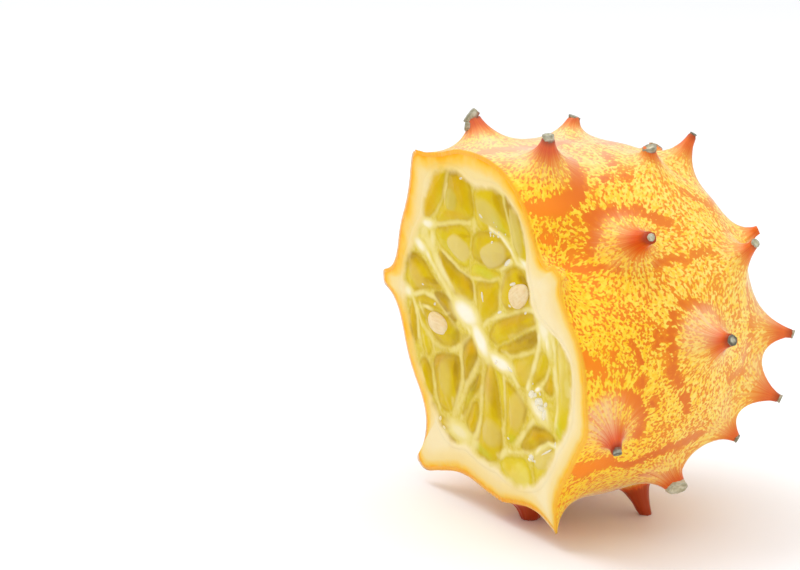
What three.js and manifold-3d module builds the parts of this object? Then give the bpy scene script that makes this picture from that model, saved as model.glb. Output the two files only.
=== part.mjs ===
// Half of a horned melon (kiwano), cut across and resting on three of its horns.
//
// The fruit is one grown body: an oval drawn out into blunt conical horns. It is cut by one plane,
// and the cut face keeps the shallow pockets of the juice sacs, with the seeds standing in them.
// Millimetres, +Z up. The cut face looks towards -Y and leans a little forward at the top. The
// origin is on the surface that the fruit rests on, under the middle of its bounding box.
import * as THREE from 'three';
import { mergeVertices } from 'three/addons/utils/BufferGeometryUtils.js';
import Module from 'manifold-3d';

// ---- the whole fruit before it is cut ----
const FRUIT_CENTRE = new THREE.Vector3(0.3, -15.8, 40.7);
const FRUIT_RADIUS = 36.2;
const FRUIT_HALF_LENGTH = 42.3;
const FRUIT_FULLNESS = 2.5; // 2 is an ellipsoid, higher is closer to a barrel

// Shallow hollows between the horns: bearing and spread in degrees, station and spread along the
// fruit as a share of its half length, depth.
const HOLLOWS = [
  { bearing: 35, spread: 22, station: -0.2, reach: 0.5, depth: 8.0 },
  { bearing: 272, spread: 20, station: 0.0, reach: 0.5, depth: 0.4 },
];

// ---- the horns ----
// Each horn: bearing round the fruit in degrees from +X towards +Z, station along it as the Y part
// of its direction, length, lean round and along the fruit as a share of the length, root radius
// and tip radius.
const HORNS = [
  // rim of the cut face
  [28, -0.31, 4.5, 0, 0, 10, 2.0],
  [128, -0.38, 8.0, 0.1, 0, 15, 2.4],
  [177, -0.26, 6.0, 0, 0, 11, 1.8],
  [234, -0.22, 12.9, 0.35, 0, 15, 3.4],
  [299, -0.2, 7.0, -0.05, 0, 13.5, 1.2],
  // first ring behind the rim
  [104, -0.17, 5.6, -0.13, -0.2, 11, 1.5],
  [72, -0.13, 6.4, 0.1, -0.14, 11, 1.3],
  [339, -0.12, 7.0, 0.05, -0.25, 12, 1.2],
  [155, -0.03, 7.0, 0.1, 0, 11, 1.3],
  [203, -0.02, 7.5, 0, 0, 11, 1.3],
  // widest part
  [38, 0.12, 9.0, 0.16, 0.2, 12, 1.3],
  [99, 0.24, 3.7, 0.18, 0.25, 9.5, 1.3],
  [137, 0.22, 6.5, 0, 0.1, 11, 1.3],
  [163, 0.34, 8.0, 0, 0, 11, 1.2],
  [190, 0.31, 6.5, 0.1, 0, 11, 1.3],
  [219, 0.38, 7.5, 0, 0, 11, 1.3],
  [309, 0.36, 4.2, -0.08, 0.1, 11, 2.1],
  [2, 0.39, 6.5, -0.15, -0.08, 12, 1.3],
  [68, 0.4, 3.0, -0.3, -0.4, 10, 1.5],
  // the three horns that the fruit rests on
  [271, -0.03, 6.8, 0.1, 0, 10, 1.6],
  [283, 0.42, 8.7, 0, 0, 7, 1.3],
  [248.5, 0.31, 9.3, 0, 0, 11, 1.7],
  // shoulder
  [79, 0.63, 7.2, 0.02, -0.1, 10, 0.9],
  [100, 0.65, 3.0, 0, 0.1, 9, 1.6],
  [136, 0.6, 7.0, 0, 0, 11, 1.2],
  [172, 0.66, 8.0, 0, 0.1, 11, 1.2],
  [206, 0.69, 6.5, 0, 0, 11, 1.2],
  [246, 0.67, 6.0, 0, 0, 11, 1.3],
  [322, 0.59, 4.8, -0.1, 0.05, 9.5, 0.9],
  [29, 0.65, 5.7, -0.2, -0.35, 9.5, 1.0],
  // round the blossom end
  [43, 0.8, 4.7, 0.2, -0.6, 9, 0.9],
  [359, 0.8, 7.6, 0.17, -0.04, 10, 0.9],
  [333, 0.75, 7.9, 0.06, -0.04, 10, 0.9],
  [277, 0.83, 7.0, 0, 0, 11, 1.2],
  [196, 0.91, 6.5, 0, 0, 10, 1.1],
  [112, 0.88, 6.5, 0, 0, 10, 1.1],
  // the blossom scar, a shallow dimple at the very end
  [0, 0.9999, -1.0, 0, 0, 6, 1.6],
].map(([bearing, station, length, leanRound, leanAlong, rootRadius, tipRadius]) => (
  { bearing, station, length, leanRound, leanAlong, rootRadius, tipRadius }
));
const HORN_TAPER = 2.3; // how quickly a horn falls away from its tip
const HORN_FLARE = 1.65; // how widely its root spreads into the rind
const LEAN_TAPER = 1.5; // keeps the lean in the upper part of a horn
const SKIN_DIVISIONS = 20; // divisions of an icosahedron's edge
const GATHER_RADIUS = 15; // facets gather within this distance of each horn
const GATHER_SHARE = 0.55;

// ---- the cut ----
const CUT_POINT = new THREE.Vector3(0, -27.3, 39.5);
const CUT_LEAN = 5.35; // degrees that the face leans over its foot

// Juice sacs in the cut face: centre right and up from the middle of the face, half length, half
// width and the turn of the long side in degrees.
const SACS = [
  // outer ring, from the right and anticlockwise
  [28, -5, 9.6, 2.7, 81],
  [14.5, 24, 6.6, 2.6, -72],
  [4.5, 26.2, 6.5, 4.1, -18],
  [-8.8, 26, 7.8, 4.1, 45],
  [-16.8, 26, 8, 2.7, 47],
  [-25.5, 7.2, 6.2, 3.1, -12],
  [-25.3, -5.5, 4.8, 1.9, -75],
  [-26.4, -15, 4.6, 2.2, -80],
  [-17.6, -14.2, 6.2, 4.5, 80],
  [-8.6, -19.4, 3.8, 2, 62],
  [-2.8, -23.2, 5.4, 3.5, 40],
  [7, -27.2, 6, 2.8, 2],
  [18, -23, 6.4, 3.1, 42],
  [16.5, -17.6, 6.8, 1.8, 25],
  // inner ring
  [10, 2.6, 9.4, 2.6, 24],
  [12, 11.4, 5.6, 3.8, 25],
  [3.8, 17.6, 7.2, 2.9, 10],
  [-10.5, 16.3, 6.6, 3.7, 5],
  [-10.7, 9, 6.8, 2.9, -22],
  [0.8, 6.5, 4.8, 3.5, 50],
  [-16.2, 2.6, 4.6, 1.8, -28],
  [-18.5, -3.6, 6.6, 3.4, -8],
  [-7.8, -7, 4.4, 2.2, 65],
  [-7.3, -13, 4.8, 1.6, 52],
  [-0.7, -13, 6.4, 2.5, 75],
  [8.5, -14, 7.2, 3, 62],
  [12.4, -4.8, 4.2, 3.1, 40],
  [19.8, -3, 4.8, 1.7, 55],
].map(([right, up, halfLength, halfWidth, turn]) => ({ right, up, halfLength, halfWidth, turn }));
const SAC_DEPTH = 0.8;

// Seeds that the cut bared: centre right and up, turn of the long side in degrees.
const SEEDS = [
  [13.6, 10.5, 30],
  [4.9, 16.9, 22],
  [-8.4, 15.8, -8],
  [3.6, 25, -22],
  [-9.6, 25.6, 20],
  [14, 23, -75],
  [-19.2, -2.3, -3],
  [-17.6, -13.6, 88],
  [-0.6, -22, 60],
  [9.4, -13.8, 62],
  [18.3, -21.4, 28],
].map(([right, up, turn]) => ({ right, up, turn }));
const SEED_HALF_LENGTH = 3.6;
const SEED_HALF_WIDTH = 2.2;
const SEED_HALF_THICKNESS = 0.9;
const SEED_SINK = 1.0; // from the cut plane to the middle of a seed

const BIG = 200; // larger than the fruit, for the blocks that cut it

const wasm = await Module();
wasm.setup();

const degrees = THREE.MathUtils.degToRad;
const clamp = THREE.MathUtils.clamp;

function directionOf(bearing, station) {
  const across = Math.sqrt(1 - station * station);
  const angle = degrees(bearing);
  return new THREE.Vector3(across * Math.cos(angle), station, across * Math.sin(angle));
}

// The smooth oval, without horns, in a direction seen from its centre.
function ovalPoint(direction) {
  const across = Math.hypot(direction.x, direction.z);
  const stretch = (Math.abs(direction.y) ** FRUIT_FULLNESS + across ** FRUIT_FULLNESS)
    ** (-1 / FRUIT_FULLNESS);
  const bearing = THREE.MathUtils.radToDeg(Math.atan2(direction.z, direction.x));
  let radius = FRUIT_RADIUS;
  for (const hollow of HOLLOWS) {
    const turned = THREE.MathUtils.euclideanModulo(bearing - hollow.bearing + 180, 360) - 180;
    const along = direction.y - hollow.station;
    radius -= hollow.depth * Math.exp(-((turned / hollow.spread) ** 2) - (along / hollow.reach) ** 2);
  }
  const scale = new THREE.Vector3(radius, FRUIT_HALF_LENGTH, radius).multiplyScalar(stretch);
  return direction.clone().multiply(scale).add(FRUIT_CENTRE);
}

function ovalNormal(direction) {
  const step = 1e-3;
  const helper = new THREE.Vector3(0, 1, 0);
  if (Math.abs(direction.y) > 0.9) helper.set(1, 0, 0);
  const sideA = helper.cross(direction).normalize();
  const sideB = direction.clone().cross(sideA);
  const slope = (side) => {
    const ahead = ovalPoint(direction.clone().addScaledVector(side, step).normalize());
    const behind = ovalPoint(direction.clone().addScaledVector(side, -step).normalize());
    return ahead.sub(behind);
  };
  const normal = slope(sideA).cross(slope(sideB)).normalize();
  return normal.dot(direction) < 0 ? normal.negate() : normal;
}

// Where a horn roots, and its own three directions: out, along the fruit and round it.
function rootOf(horn) {
  const direction = directionOf(horn.bearing, horn.station);
  const out = ovalNormal(direction);
  const along = new THREE.Vector3(0, 1, 0).addScaledVector(out, -out.y).normalize();
  const round = along.clone().cross(out);
  return { ...horn, direction, out, along, round, root: ovalPoint(direction) };
}

// Moves a direction towards the horns nearby, so that more facets fall on them.
function gathered(direction, horns) {
  const place = ovalPoint(direction);
  const moved = direction.clone();
  for (const horn of horns) {
    const distance = place.distanceTo(horn.root) / GATHER_RADIUS;
    if (distance >= 1) continue;
    const pull = GATHER_SHARE * (1 - distance) ** 2;
    moved.addScaledVector(direction.clone().sub(horn.direction), -pull);
  }
  return moved.normalize();
}

// Draws one point of the oval out into the horns that it belongs to.
function withHorns(point, horns) {
  const drawn = point.clone();
  for (const horn of horns) {
    const offset = point.clone().sub(horn.root);
    const distance = offset.length();
    if (distance >= horn.rootRadius) continue;
    const tipEdge = 0.9 * horn.tipRadius;
    const share = clamp((distance - tipEdge) / (horn.rootRadius - tipEdge), 0, 1);
    const spread = (horn.rootRadius - horn.tipRadius) * share ** HORN_FLARE;
    const radius = distance < tipEdge
      ? (horn.tipRadius * distance) / tipEdge
      : horn.tipRadius + spread;
    const rise = (1 - share) ** HORN_TAPER;
    const lean = rise ** LEAN_TAPER * horn.length;
    drawn.addScaledVector(offset, radius / Math.max(distance, 1e-6) - 1);
    drawn.addScaledVector(horn.out, rise * horn.length);
    drawn.addScaledVector(horn.round, lean * horn.leanRound);
    drawn.addScaledVector(horn.along, lean * horn.leanAlong);
  }
  return drawn;
}

function closed(geometry) {
  geometry.deleteAttribute('normal');
  geometry.deleteAttribute('uv');
  return mergeVertices(geometry, 1e-4);
}

function solidOf(geometry) {
  return new wasm.Manifold(new wasm.Mesh({
    numProp: 3,
    vertProperties: new Float32Array(geometry.attributes.position.array),
    triVerts: new Uint32Array(geometry.index.array),
  }));
}

function geometryOf(solid) {
  const mesh = solid.getMesh();
  const geometry = new THREE.BufferGeometry();
  geometry.setAttribute('position', new THREE.BufferAttribute(mesh.vertProperties, 3));
  geometry.setIndex(new THREE.BufferAttribute(mesh.triVerts, 1));
  return geometry;
}

function wholeFruit() {
  const horns = HORNS.map(rootOf);
  const geometry = closed(new THREE.IcosahedronGeometry(1, SKIN_DIVISIONS));
  const position = geometry.attributes.position;
  const point = new THREE.Vector3();
  for (let index = 0; index < position.count; index += 1) {
    point.fromBufferAttribute(position, index).normalize();
    const place = withHorns(ovalPoint(gathered(point, horns)), horns);
    position.setXYZ(index, place.x, place.y, place.z);
  }
  return solidOf(geometry);
}

// A shape made round the middle of an upright face looking to -Y, moved onto the cut.
function onCut(geometry) {
  return geometry.rotateX(degrees(CUT_LEAN)).translate(CUT_POINT.x, CUT_POINT.y, CUT_POINT.z);
}

// A flattened ball lying in the cut: its middle is this far inside the face.
function flatBall(place, halfLength, halfWidth, halfThickness, inside) {
  const ball = closed(new THREE.SphereGeometry(1, 12, 6));
  ball.scale(halfLength, halfThickness, halfWidth);
  ball.rotateY(degrees(-place.turn));
  ball.translate(place.right, inside, place.up);
  return solidOf(onCut(ball));
}

function block(width, depth, height, x, y, z) {
  return closed(new THREE.BoxGeometry(width, depth, height).translate(x, y, z));
}

let half = wholeFruit();
half = half.subtract(solidOf(onCut(block(BIG, BIG, BIG, 0, -BIG / 2, 0))));
for (const sac of SACS) {
  half = half.subtract(flatBall(sac, sac.halfLength, sac.halfWidth, SAC_DEPTH, 0));
}
for (const seed of SEEDS) {
  half = half.add(
    flatBall(seed, SEED_HALF_LENGTH, SEED_HALF_WIDTH, SEED_HALF_THICKNESS, SEED_SINK),
  );
}
half = half.subtract(solidOf(block(BIG, BIG, BIG, 0, 0, -BIG / 2)));

const rind = new THREE.MeshStandardMaterial({
  name: 'rind',
  color: '#f08a24',
  roughness: 0.5,
  metalness: 0,
});
const hornedMelon = new THREE.Mesh(geometryOf(half), rind);
hornedMelon.name = 'horned_melon_half';

const group = new THREE.Group();
group.name = 'horned_melon';
group.add(hornedMelon);

export default group;
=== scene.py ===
# Half of a horned melon: orange rind drawn out into horns, and a wet green cut face.
import math
import random

import bmesh
import bpy
import numpy as np
from mathutils import Matrix, Vector, noise


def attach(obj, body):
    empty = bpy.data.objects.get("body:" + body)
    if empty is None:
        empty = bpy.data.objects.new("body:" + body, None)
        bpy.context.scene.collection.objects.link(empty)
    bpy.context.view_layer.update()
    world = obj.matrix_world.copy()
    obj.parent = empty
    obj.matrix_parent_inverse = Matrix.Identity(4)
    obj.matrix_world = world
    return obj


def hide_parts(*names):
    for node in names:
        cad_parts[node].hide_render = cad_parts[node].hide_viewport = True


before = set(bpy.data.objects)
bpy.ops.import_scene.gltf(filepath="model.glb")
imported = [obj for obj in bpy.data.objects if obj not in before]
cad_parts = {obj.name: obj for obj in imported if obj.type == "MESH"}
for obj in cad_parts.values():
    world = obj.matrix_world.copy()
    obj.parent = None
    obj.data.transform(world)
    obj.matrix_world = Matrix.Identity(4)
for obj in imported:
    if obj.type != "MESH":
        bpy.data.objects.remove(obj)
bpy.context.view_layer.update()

MM = 0.001

# ---- View ----
# The half stands a little to the right of the middle, seen from the right of its cut face and
# from slightly above, by a long lens.
VIEW_TARGET = Vector((-14.4, -38.7, 47.6)) * MM
VIEW_AZIMUTH = math.radians(60.7)
VIEW_ELEVATION = math.radians(13.0)
VIEW_DISTANCE = 585 * MM
VIEW_LENS = 132.6
VIEW_SENSOR = 36.0
VIEW_NEAREST = 10 * MM

camera_data = bpy.data.cameras.new("camera")
camera_data.lens = VIEW_LENS
camera_data.sensor_width = VIEW_SENSOR
camera_data.clip_start = VIEW_NEAREST
camera = bpy.data.objects.new("camera", camera_data)
bpy.context.collection.objects.link(camera)
towards_camera = Vector((
    math.sin(VIEW_AZIMUTH) * math.cos(VIEW_ELEVATION),
    -math.cos(VIEW_AZIMUTH) * math.cos(VIEW_ELEVATION),
    math.sin(VIEW_ELEVATION),
))
camera.location = VIEW_TARGET + VIEW_DISTANCE * towards_camera
camera.rotation_euler = towards_camera.to_track_quat("Z", "Y").to_euler()
bpy.context.scene.camera = camera

# ---- Rind ----
# The skin of the fruit, about a millimetre thick and grown in one piece with its horns: an oval
# whose surface is drawn out into blunt cones, then cut across. It is orange with fine yellow
# speckles, plain orange bands between the horns, and redder horns. Sizes here are in mm.
FRUIT_CENTRE = np.array((0.3, -15.8, 40.7))
FRUIT_RADIUS = 36.2
FRUIT_HALF_LENGTH = 42.3
FRUIT_FULLNESS = 2.5
HOLLOWS = (  # bearing and spread in degrees, station and reach as shares, depth
    (35, 22, -0.2, 0.5, 8.0),
    (272, 20, 0.0, 0.5, 0.4),
)
# Each horn: bearing in degrees from +X towards +Z, station along the fruit from -1 to 1, length,
# lean round, lean along, root radius, tip radius, and the height of the dried stub on its end.
HORNS = (
    (28, -0.31, 4.5, 0, 0, 10, 2.0, 0.0),
    (128, -0.38, 8.0, 0.1, 0, 15, 2.4, 0.0),
    (177, -0.26, 6.0, 0, 0, 11, 1.8, 0.0),
    (234, -0.22, 12.9, 0.35, 0, 15, 3.4, 0.0),
    (299, -0.2, 7.0, -0.05, 0, 13.5, 1.2, 0.0),
    (104, -0.17, 5.6, -0.13, -0.2, 11, 1.5, 1.0),
    (72, -0.13, 6.4, 0.1, -0.14, 11, 1.3, 0.9),
    (339, -0.12, 7.0, 0.05, -0.25, 12, 1.2, 0.8),
    (155, -0.03, 7.0, 0.1, 0, 11, 1.3, 0.6),
    (203, -0.02, 7.5, 0, 0, 11, 1.3, 0.5),
    (38, 0.12, 9.0, 0.16, 0.2, 12, 1.3, 0.4),
    (99, 0.24, 3.7, 0.18, 0.25, 9.5, 1.3, 0.4),
    (137, 0.22, 6.5, 0, 0.1, 11, 1.3, 0.7),
    (163, 0.34, 8.0, 0, 0, 11, 1.2, 0.5),
    (190, 0.31, 6.5, 0.1, 0, 11, 1.3, 0.6),
    (219, 0.38, 7.5, 0, 0, 11, 1.3, 0.4),
    (309, 0.36, 4.2, -0.08, 0.1, 11, 2.1, 0.9),
    (2, 0.39, 6.5, -0.15, -0.08, 12, 1.3, 0.5),
    (68, 0.4, 3.0, -0.3, -0.4, 10, 1.5, 0.6),
    (271, -0.03, 6.8, 0.1, 0, 10, 1.6, 0.0),
    (283, 0.42, 8.7, 0, 0, 7, 1.3, 0.0),
    (248.5, 0.31, 9.3, 0, 0, 11, 1.7, 0.0),
    (79, 0.63, 7.2, 0.02, -0.1, 10, 0.9, 0.3),
    (100, 0.65, 3.0, 0, 0.1, 9, 1.6, 0.3),
    (136, 0.6, 7.0, 0, 0, 11, 1.2, 0.5),
    (172, 0.66, 8.0, 0, 0.1, 11, 1.2, 0.6),
    (206, 0.69, 6.5, 0, 0, 11, 1.2, 0.4),
    (246, 0.67, 6.0, 0, 0, 11, 1.3, 0.5),
    (322, 0.59, 4.8, -0.1, 0.05, 9.5, 0.9, 0.3),
    (29, 0.65, 5.7, -0.2, -0.35, 9.5, 1.0, 0.4),
    (43, 0.8, 4.7, 0.2, -0.6, 9, 0.9, 0.0),
    (359, 0.8, 7.6, 0.17, -0.04, 10, 0.9, 0.3),
    (333, 0.75, 7.9, 0.06, -0.04, 10, 0.9, 0.4),
    (277, 0.83, 7.0, 0, 0, 11, 1.2, 0.4),
    (196, 0.91, 6.5, 0, 0, 10, 1.1, 0.4),
    (112, 0.88, 6.5, 0, 0, 10, 1.1, 0.5),
    (0, 0.9999, -1.0, 0, 0, 6, 1.6, 0.0),
)
HORN_TAPER = 2.3
HORN_FLARE = 1.65
HORN_FLAT_END = 0.9  # share of the tip's radius that is flat
HORN_RIBS = 11
HORN_RIB_HEIGHT = 0.09
LEAN_TAPER = 1.5
GATHER_RADIUS = 15
GATHER_SHARE = 0.55
SKIN_WAVE_HEIGHT = 0.22
SKIN_WAVE_LENGTH = 9
RED_SHARE = 0.3  # even the shortest horn turns this much red
RED_LENGTH = 9.0  # the red grows with a horn's length, as a share of this
SLICED_STATION = -0.18  # horns with no stub this near the cut are sliced by it
SLICED_RED = 0.25  # and are hardly red
LOW_HORN = -0.85  # horns that point down more than this are red almost to the foot, partly their own red and partly painted shade
LOW_RED_FOOT = 0.25
HIGHLIGHT_WAY = np.array((-0.35, -0.6, 0.7))  # a highlight is painted on the side of each horn that faces this way
HIGHLIGHT_HEIGHTS = (44, 54)  # the painted highlight weakens on horns that stand between these heights
HIGHLIGHT_LOSS = 0.65
SHEEN_FACING = (0.84, 0.99)  # how far up the skin faces where its painted sheen starts and is full
CUT_POINT = np.array((0.0, -27.3, 39.5))
CUT_LEAN = math.radians(5.35)
CUT_OUT = np.array((0.0, -math.cos(CUT_LEAN), -math.sin(CUT_LEAN)))
SKIN_THICKNESS = 0.8
EASED_DEPTH = 1.0
EASED_ROUNDS = 8
FLESH_DEPTH = 3.0  # how far behind the cut the rind piece closes
BACK_SPREAD = 16  # degrees to each side of a cut horn over which the back draws in
BACK_MARGIN = 1.0
BACK_RINGS = (0.5, 0.95)  # shares of the way to its middle at which the back has rings
FLESH_STEP = 0.4

BAND_WIDTH_SHARE = 0.62  # share of a band's width that has no speckles at all
BAND_STEPS = 8
# The plain orange bands between the horns: half the width of each, then points along it as
# bearing and station.
BANDS = (
    (2.0, ((57, -0.32), (55, -0.18), (57, -0.05), (61, -0.01), (70, 0.03))),
    (1.4, ((52, -0.05), (53, 0.08), (51, 0.24), (44, 0.35))),
    (0.9, ((75, 0.22), (68, 0.19))),
    (0.9, ((62, 0.11), (62, 0.13))),
    (0.9, ((62, 0.2), (61, 0.22))),
    (1.0, ((51, -0.02), (46, -0.06), (39, -0.1))),
    (1.2, ((47, -0.27), (46, -0.22))),
    (0.8, ((36, -0.17), (32, -0.1), (28, 0.0))),
    (0.9, ((27, 0.22), (29, 0.3), (30, 0.36), (32, 0.49))),
    (1.0, ((16, 0.27), (17, 0.32), (15, 0.41), (9, 0.49), (3, 0.52))),
    (1.1, ((13, 0.21), (5, 0.16), (355, 0.18), (347, 0.24), (341, 0.31))),
    (1.7, ((3, -0.26), (358, -0.19))),
    (0.8, ((3, -0.12), (1, -0.12))),
    (0.9, ((5, -0.02), (2, 0.0), (359, 0.03))),
    (0.8, ((8, 0.12), (3, 0.1))),
    (0.7, ((354, 0.02), (353, 0.04))),
    (1.5, ((352, -0.06), (349, 0.03), (341, 0.08), (334, 0.08))),
    (1.2, ((345, 0.28), (339, 0.32))),
    (0.9, ((347, 0.11), (345, 0.12))),
    (2.2, ((322, -0.3), (321, -0.15), (323, -0.04))),
    (1.4, ((323, -0.04), (320, 0.1), (323, 0.2), (325, 0.3), (325, 0.44))),
    (1.0, ((312, 0.19), (313, 0.27), (316, 0.36))),
    (1.6, ((88, -0.3), (86, -0.15), (84, 0.0), (86, 0.12))),
    (1.2, ((84, 0.3), (90, 0.42), (88, 0.52))),
    (1.3, ((55, 0.5), (52, 0.62), (62, 0.72))),
    (1.2, ((15, 0.7), (346, 0.66), (345, 0.55))),
    (1.5, ((118, -0.3), (119, -0.1), (117, 0.1), (120, 0.25), (118, 0.42))),
    (1.3, ((119, 0.5), (116, 0.66), (124, 0.78))),
    (1.6, ((145, -0.26), (144, -0.1), (146, 0.1), (150, 0.22))),
    (1.3, ((150, 0.3), (148, 0.45), (154, 0.6))),
    (1.5, ((166, -0.15), (172, 0.05), (176, 0.2), (176, 0.34))),
    (1.2, ((178, 0.42), (188, 0.5), (190, 0.64))),
    (1.6, ((190, -0.27), (189, -0.1), (198, 0.12), (204, 0.24))),
    (1.3, ((204, 0.34), (205, 0.48), (220, 0.56), (226, 0.7))),
    (1.6, ((214, -0.2), (218, 0.0), (228, 0.14), (232, 0.26))),
    (1.3, ((234, 0.36), (236, 0.5), (228, 0.6))),
    (1.5, ((252, -0.27), (251, -0.12), (256, 0.06), (262, 0.14))),
    (1.3, ((264, 0.24), (266, 0.42), (262, 0.6), (262, 0.72))),
    (1.5, ((288, -0.22), (290, -0.05), (288, 0.1), (296, 0.2))),
    (1.2, ((296, 0.36), (298, 0.52), (306, 0.62), (304, 0.74))),
    (1.1, ((150, 0.78), (152, 0.88), (120, 0.95))),
    (1.1, ((30, 0.88), (20, 0.93), (350, 0.92))),
    (1.1, ((310, 0.82), (316, 0.9), (290, 0.94))),
    (1.1, ((230, 0.8), (236, 0.88), (220, 0.95))),
)


def direction_of(bearing, station):
    across = math.sqrt(1 - station * station)
    angle = math.radians(bearing)
    return np.array((across * math.cos(angle), station, across * math.sin(angle)))


def unit(vectors):
    return vectors / np.linalg.norm(vectors, axis=-1, keepdims=True)


def oval_point(directions):
    """The smooth oval, without horns, in directions seen from its centre."""
    across = np.hypot(directions[:, 0], directions[:, 2])
    fullness = FRUIT_FULLNESS
    stretch = (np.abs(directions[:, 1]) ** fullness + across**fullness) ** (-1 / fullness)
    bearings = np.degrees(np.arctan2(directions[:, 2], directions[:, 0]))
    radius = np.full(len(directions), FRUIT_RADIUS)
    for bearing, spread, station, reach, depth in HOLLOWS:
        turned = (bearings - bearing + 180) % 360 - 180
        along = directions[:, 1] - station
        radius -= depth * np.exp(-((turned / spread) ** 2) - (along / reach) ** 2)
    scale = np.stack((radius, np.full(len(directions), FRUIT_HALF_LENGTH), radius), axis=1)
    return FRUIT_CENTRE + directions * scale * stretch[:, None]


def oval_normal(direction):
    step = 1e-3
    helper = (1.0, 0.0, 0.0) if abs(direction[1]) > 0.9 else (0.0, 1.0, 0.0)
    side_a = unit(np.cross(helper, direction))
    side_b = np.cross(direction, side_a)
    slopes = []
    for side in (side_a, side_b):
        ends = oval_point(unit(np.array((direction + step * side, direction - step * side))))
        slopes.append(ends[0] - ends[1])
    normal = unit(np.cross(*slopes))
    return normal if normal @ direction > 0 else -normal


class Horn:
    def __init__(self, row):
        bearing, station, self.length, lean_round, lean_along = row[:5]
        self.root_radius, self.tip_radius, self.stub = row[5:]
        self.place = (bearing, station)
        self.direction = direction_of(bearing, station)
        self.root = oval_point(self.direction[None])[0]
        self.out = oval_normal(self.direction)
        self.along = unit(np.array((0.0, 1.0, 0.0)) - self.out[1] * self.out)
        self.round = np.cross(self.along, self.out)
        self.lean = lean_round * self.round + lean_along * self.along
        self.tip = self.root + self.length * (self.out + self.lean)


def smooth(values, low, high):
    share = np.clip((values - low) / (high - low), 0, 1)
    return share * share * (3 - 2 * share)


def wobble(points, size, seed):
    """Smooth noise from -1 to 1 with waves about this many millimetres long."""
    shift = Vector((seed * 17.3, seed * 5.1, -seed * 9.7))
    return np.array([noise.noise(Vector(point) / size + shift) for point in points])


horns = [Horn(row) for row in HORNS]
rind_mesh = bmesh.new()
bmesh.ops.create_icosphere(rind_mesh, subdivisions=7, radius=1)
directions = np.array([vert.co for vert in rind_mesh.verts])

# The facets gather towards the horns, which need them most.
places = oval_point(directions)
gathered = directions.copy()
for horn in horns:
    distance = np.linalg.norm(places - horn.root, axis=1) / GATHER_RADIUS
    pull = GATHER_SHARE * np.where(distance < 1, (1 - distance) ** 2, 0)
    gathered -= pull[:, None] * (directions - horn.direction)
directions = unit(gathered)
places = oval_point(directions)

# Each point near a horn is drawn in round its axis and lifted. What the finish needs is noted:
# which way the nearest horn lies, how high up a horn the point is, and where a highlight is painted.
waves = SKIN_WAVE_HEIGHT * wobble(places, SKIN_WAVE_LENGTH, 1)
grown = places + waves[:, None] * unit(places - FRUIT_CENTRE)
nearest = np.full(len(places), 99.0)
horn_way = np.zeros((len(places), 3))
horn_rise = np.zeros(len(places))
pale_side = np.zeros(len(places))
for number, horn in enumerate(horns):
    offset = places - horn.root
    distance = np.linalg.norm(offset, axis=1)
    tip_edge = HORN_FLAT_END * horn.tip_radius
    share = np.clip((distance - tip_edge) / (horn.root_radius - tip_edge), 0, 1)
    spread = horn.tip_radius + (horn.root_radius - horn.tip_radius) * share**HORN_FLARE
    radius = np.where(distance < tip_edge, horn.tip_radius * distance / tip_edge, spread)
    rise = (1 - share) ** HORN_TAPER
    lean = rise**LEAN_TAPER * horn.length
    turn = np.arctan2(offset @ horn.round, offset @ horn.along)
    ribs = HORN_RIB_HEIGHT * np.sin(HORN_RIBS * turn + 3 * np.sin(2 * turn + number))
    ribs *= smooth(share, 0.02, 0.15) * (1 - smooth(share, 0.3, 0.7))
    near = distance < horn.root_radius
    scaled = ((radius + ribs) / np.maximum(distance, 1e-6) - 1)[:, None] * offset
    lifted = (rise * horn.length)[:, None] * horn.out + lean[:, None] * horn.lean
    grown += np.where(near[:, None], scaled + lifted, 0)
    if horn.length > 0:
        sliced = horn.stub == 0 and horn.direction[1] < SLICED_STATION
        ripe_and_shade = rise * (SLICED_RED if sliced else min(1, RED_SHARE + horn.length / RED_LENGTH))
        # Horns that hang down are red and darker almost to the foot: partly their own colour, partly
        # painted shade.
        if horn.out[2] < LOW_HORN and not sliced:
            ripe_and_shade = smooth(rise, 0.0, LOW_RED_FOOT)
        else:
            # Painted highlight on the side of the horn that faces up and to the front left.
            facing = smooth(offset @ HIGHLIGHT_WAY / np.maximum(distance, 1e-6), 0.1, 0.9)
            facing *= smooth(rise, 0.02, 0.12) * (1 - smooth(rise, 0.35, 0.9))
            facing *= 1 - HIGHLIGHT_LOSS * smooth(horn.root[2], *HIGHLIGHT_HEIGHTS)
            pale_side = np.where(near, np.maximum(pale_side, facing), pale_side)
        horn_rise = np.where(near, np.maximum(horn_rise, ripe_and_shade), horn_rise)
        closer = distance < nearest
        nearest = np.where(closer, distance, nearest)
        way = np.stack((np.cos(turn), np.sin(turn), np.full(len(turn), number)), axis=1)
        horn_way[closer] = way[closer]
grown[:, 2] = np.maximum(grown[:, 2], 0)

# How far each point is from the edge of the nearest plain band, less than 0 inside it.
band_gap = np.full(len(places), 9.0)
for half_width, points in BANDS:
    centres = []
    for (bearing_a, station_a), (bearing_b, station_b) in zip(points, points[1:]):
        turned = (bearing_b - bearing_a + 180) % 360 - 180
        for share in np.linspace(0, 1, BAND_STEPS):
            station = station_a + share * (station_b - station_a)
            centres.append(direction_of(bearing_a + share * turned, station))
    for centre in oval_point(np.array(centres)):
        gap = np.linalg.norm(places - centre, axis=1) - BAND_WIDTH_SHARE * half_width
        band_gap = np.minimum(band_gap, gap)


def shape(mesh, places, **notes):
    """Puts every corner at its place, with a number or direction noted for the material."""
    for vert, place in zip(mesh.verts, places):
        vert.co = Vector(place)
    for name, values in notes.items():
        kinds = mesh.verts.layers.float if values.ndim == 1 else mesh.verts.layers.float_vector
        layer = kinds.new(name)
        for vert, value in zip(mesh.verts, values):
            vert[layer] = value if values.ndim == 1 else Vector(value)


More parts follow.
